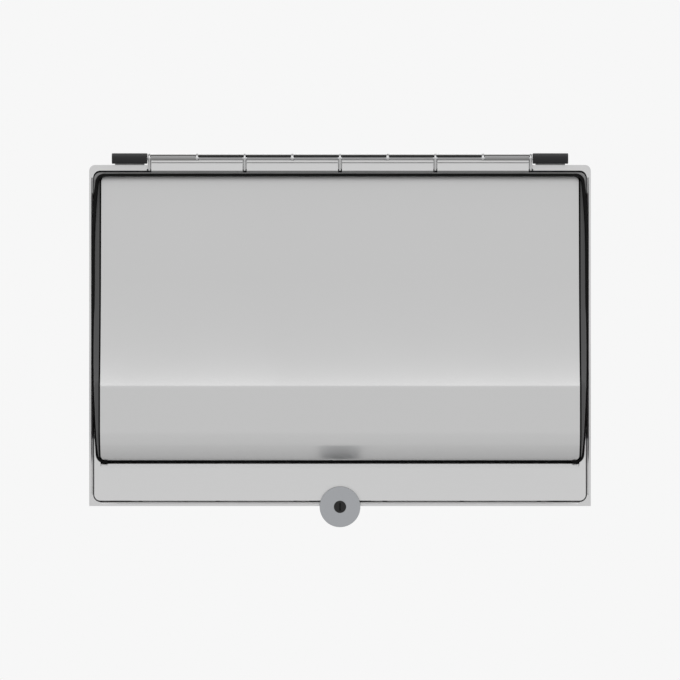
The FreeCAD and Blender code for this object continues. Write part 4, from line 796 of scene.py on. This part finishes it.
# %% Tree for a toothed strip
tree, sizes = new_tree("tear_bar", ("Start", "Vector"), ("Long", "Float"), ("Teeth", "Int"),
                       ("Land", "Float"), ("Tooth", "Float"))
doubled = reckon(tree, "MULTIPLY", sizes["Teeth"], 2.0)
row = add(tree, "GeometryNodeMeshLine", {"mode": "OFFSET"},
          {"Count": reckon(tree, "ADD", doubled, 1.0), "Start Location": sizes["Start"],
           "Offset": along_x(tree, reckon(tree, "DIVIDE", sizes["Long"], doubled))})
odd = reckon(tree, "MODULO", add(tree, "GeometryNodeInputIndex").outputs[0], 2.0)
known = add(tree, "GeometryNodeStoreNamedAttribute",
            {"data_type": "FLOAT", "domain": "POINT", "Name": "odd"},
            {"Geometry": row.outputs[0], "Value": odd})
land = add(tree, "ShaderNodeCombineXYZ", {}, {"Y": sizes["Land"]})
band = add(tree, "GeometryNodeExtrudeMesh", {"mode": "EDGES"},
           {"Mesh": known.outputs[0], "Offset": land.outputs[0]})
odd = add(tree, "GeometryNodeInputNamedAttribute", {"data_type": "FLOAT", "Name": "odd"}).outputs[0]
push = add(tree, "ShaderNodeCombineXYZ", {}, {"Y": reckon(tree, "MULTIPLY", odd, sizes["Tooth"])})
toothed = add(tree, "GeometryNodeSetPosition", {},
              {"Geometry": band.outputs[0], "Selection": band.outputs["Top"],
               "Offset": push.outputs[0]})
close_tree(tree, toothed.outputs[0], STAINLESS)

# %% Two strips
TOOTH, TOOTH_PITCH = 2.2 * MM, 3.0 * MM
for node in ("tear_bar_left", "tear_bar_right"):
    low, high = (Vector(corner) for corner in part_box(node))
    bar = run_tree(node + "_piece", tree, STAINLESS, Start=Vector((low.x, low.y, high.z)),
                   Long=high.x - low.x, Teeth=int((high.x - low.x) // TOOTH_PITCH),
                   Land=high.y - low.y - TOOTH, Tooth=TOOTH)
    wall = bar.modifiers.new("sheet", "SOLIDIFY")
    wall.thickness = high.z - low.z
    wall.offset = -1
    hand_over(soften(settle(bar), 0.05), body_of(node), "stainless_steel", node)

# %% [markdown]
# ## Springs
# A coil spring pushes each spindle's end out, so that a roll can be changed.  It is a round wire
# wound on a helix: the tree takes a spiral and carries a small circle along it.  When its plunger is
# pushed in the coil gets shorter, and the share of its length that it keeps is printed.

# %% Tree for a coil
tree, sizes = new_tree("coil_spring", ("Middle", "Vector"), ("Long", "Float"), ("Coil radius", "Float"),
                       ("Wire radius", "Float"), ("Turns", "Float"))
coil = add(tree, "GeometryNodeCurveSpiral", {"Resolution": 28},
           {"Rotations": sizes["Turns"], "Start Radius": sizes["Coil radius"],
            "End Radius": sizes["Coil radius"], "Height": sizes["Long"]})
section = add(tree, "GeometryNodeCurvePrimitiveCircle", {"Resolution": 10},
              {"Radius": sizes["Wire radius"]})
wound = add(tree, "GeometryNodeCurveToMesh", {"Fill Caps": True},
            {"Curve": coil.outputs[0], "Profile Curve": section.outputs[0]})
back_half = add(tree, "ShaderNodeCombineXYZ", {}, {"Z": reckon(tree, "MULTIPLY", sizes["Long"], -0.5)})
centred = add(tree, "GeometryNodeTransform", {},
              {"Geometry": wound.outputs[0], "Translation": back_half.outputs[0]})
laid = add(tree, "GeometryNodeTransform", {"Rotation": (0, math.pi / 2, 0)},
           {"Geometry": centred.outputs[0], "Translation": sizes["Middle"]})
close_tree(tree, laid.outputs[0], STAINLESS)

# %% Two springs, with the share of their length kept when pushed in
WIRE_R, TURNS = 0.6 * MM, 14.0
for side in ("left", "right"):
    node, joint = "spindle_spring_" + side, "plunger_slide_" + side
    low, high = (Vector(corner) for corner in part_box(node))
    spring = run_tree(node + "_piece", tree, STAINLESS, Middle=(low + high) / 2,
                      Long=high.x - low.x - 2 * WIRE_R, Coil_radius=(high.z - low.z) / 2 - WIRE_R,
                      Wire_radius=WIRE_R, Turns=TURNS)
    for face in spring.data.polygons:
        face.use_smooth = True
    travel = next(j["range_m"][1] for j in frame["joints"] if j["name"] == joint)
    plunger_end = high if side == "left" else low
    hand_over(spring, body_of(node), "stainless_steel", node)
    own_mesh(spring)
    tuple(plunger_end)
    print(node, "keeps", round(1 - travel / (high.x - low.x), 3), "of its length")

# %% [markdown]
# ## Camera and light
# A product picture is taken from far away with a long lens, so that upright edges stay upright: the
# camera stands where its view is 407 mm wide at the frame of the hood.  The metal is only as good as
# what it mirrors: the room is one even pale tone, and one wide soft lamp high in front fills the part
# of the sky that the leaning face of the hood looks at.

# %% Camera
LENS, SENSOR = 450.0, 36.0
VIEW_WIDTH, EYE_Z = 0.40664, -2.7 * MM
FURTHEST = 100
scene = bpy.context.scene
camera = bpy.data.objects.new("camera", bpy.data.cameras.new("camera"))
scene.collection.objects.link(camera)
camera.data.lens = LENS
camera.data.sensor_width = SENSOR
camera.data.clip_end = FURTHEST
camera.location = (0.0, front_y - VIEW_WIDTH * LENS / SENSOR, EYE_Z)
camera.rotation_euler = (math.pi / 2, 0, 0)
scene.camera = camera
scene.view_settings.view_transform = "Standard"
print("camera stands", round(front_y - camera.location.y, 2), "m in front")

# %% Pale room: one tone for the eye and for reflections, another for diffuse light
BACKDROP, ROOM_LIGHT = "#f7f7f7", 0.75


def seen(tree):
    """1 for rays from the camera, from a mirror or through glass, else 0."""
    ray = add(tree, "ShaderNodeLightPath").outputs
    return reckon(tree, "MAXIMUM", reckon(tree, "MAXIMUM", ray["Is Camera Ray"], ray["Is Glossy Ray"]),
                  ray["Is Transmission Ray"])


world = bpy.data.worlds.new("studio")
scene.world = world
world.use_nodes = True
tree = world.node_tree
tree.nodes.clear()
room = add(tree, "ShaderNodeBackground", {"Color": (ROOM_LIGHT, ROOM_LIGHT, ROOM_LIGHT, 1)})
pale = add(tree, "ShaderNodeBackground", {"Color": srgb(BACKDROP)})
both = add(tree, "ShaderNodeMixShader", {}, {0: seen(tree), 1: room.outputs[0], 2: pale.outputs[0]})
add(tree, "ShaderNodeOutputWorld", {}, {"Surface": both.outputs[0]})

# %% Wide soft lamp, high in front
LAMP_RISE, LAMP_AWAY, LAMP_TALL, LAMP_WIDE = math.radians(76), 2.0, 1.4, 3.0
LAMP_RADIANCE = 1.9
lamp = bpy.data.objects.new("soft_box", bpy.data.lights.new("soft_box", "AREA"))
scene.collection.objects.link(lamp)
lamp.data.shape = "RECTANGLE"
lamp.data.size, lamp.data.size_y = LAMP_WIDE, LAMP_TALL
lamp.data.energy = LAMP_RADIANCE * math.pi * LAMP_WIDE * LAMP_TALL
lamp.location = (0, -LAMP_AWAY * math.cos(LAMP_RISE), LAMP_AWAY * math.sin(LAMP_RISE))
lamp.rotation_euler = (LAMP_RISE - math.pi / 2, 0, 0)
print("lamp of", round(lamp.data.energy, 2), "watts")

# %% [markdown]
# ## Floor
# The real thing hangs on a wall, so the floor lies well below it.  It is pale plaster that keeps the
# holder's soft shadow: most of its tone is steady, and a part of it answers to the light.  Seen from
# below it must not hide the holder, so its underside is clear.

# %% Floor
FLOOR_Z, FLOOR_HALF, STEADY = -0.6, 2.0, 0.75
PLASTER = bpy.data.materials.new("painted_plaster_floor")
PLASTER.use_nodes = True
tree = PLASTER.node_tree
tree.nodes.clear()
steady = add(tree, "ShaderNodeEmission", {"Color": srgb(BACKDROP)})
paint = add(tree, "ShaderNodeBsdfDiffuse", {"Color": srgb("#e6e6e6")})
share = reckon(tree, "MULTIPLY", seen(tree), STEADY)
painted = add(tree, "ShaderNodeMixShader", {}, {0: share, 1: paint.outputs[0], 2: steady.outputs[0]})
clear = add(tree, "ShaderNodeBsdfTransparent")
side = add(tree, "ShaderNodeNewGeometry").outputs["Backfacing"]
ground = add(tree, "ShaderNodeMixShader", {}, {0: side, 1: painted.outputs[0], 2: clear.outputs[0]})
add(tree, "ShaderNodeOutputMaterial", {}, {"Surface": ground.outputs[0]})
corners = [(x * FLOOR_HALF, y * FLOOR_HALF, FLOOR_Z) for x, y in ((-1, -1), (1, -1), (1, 1), (-1, 1))]
plate = bpy.data.meshes.new("floor")
plate.from_pydata(corners, [], [(0, 1, 2, 3)])
floor = as_object("floor", plate, PLASTER)

# %% [markdown]
# ## The end
# The dressed model may not be larger than the engineered one.

# %% Finish
bpy.context.view_layer.update()
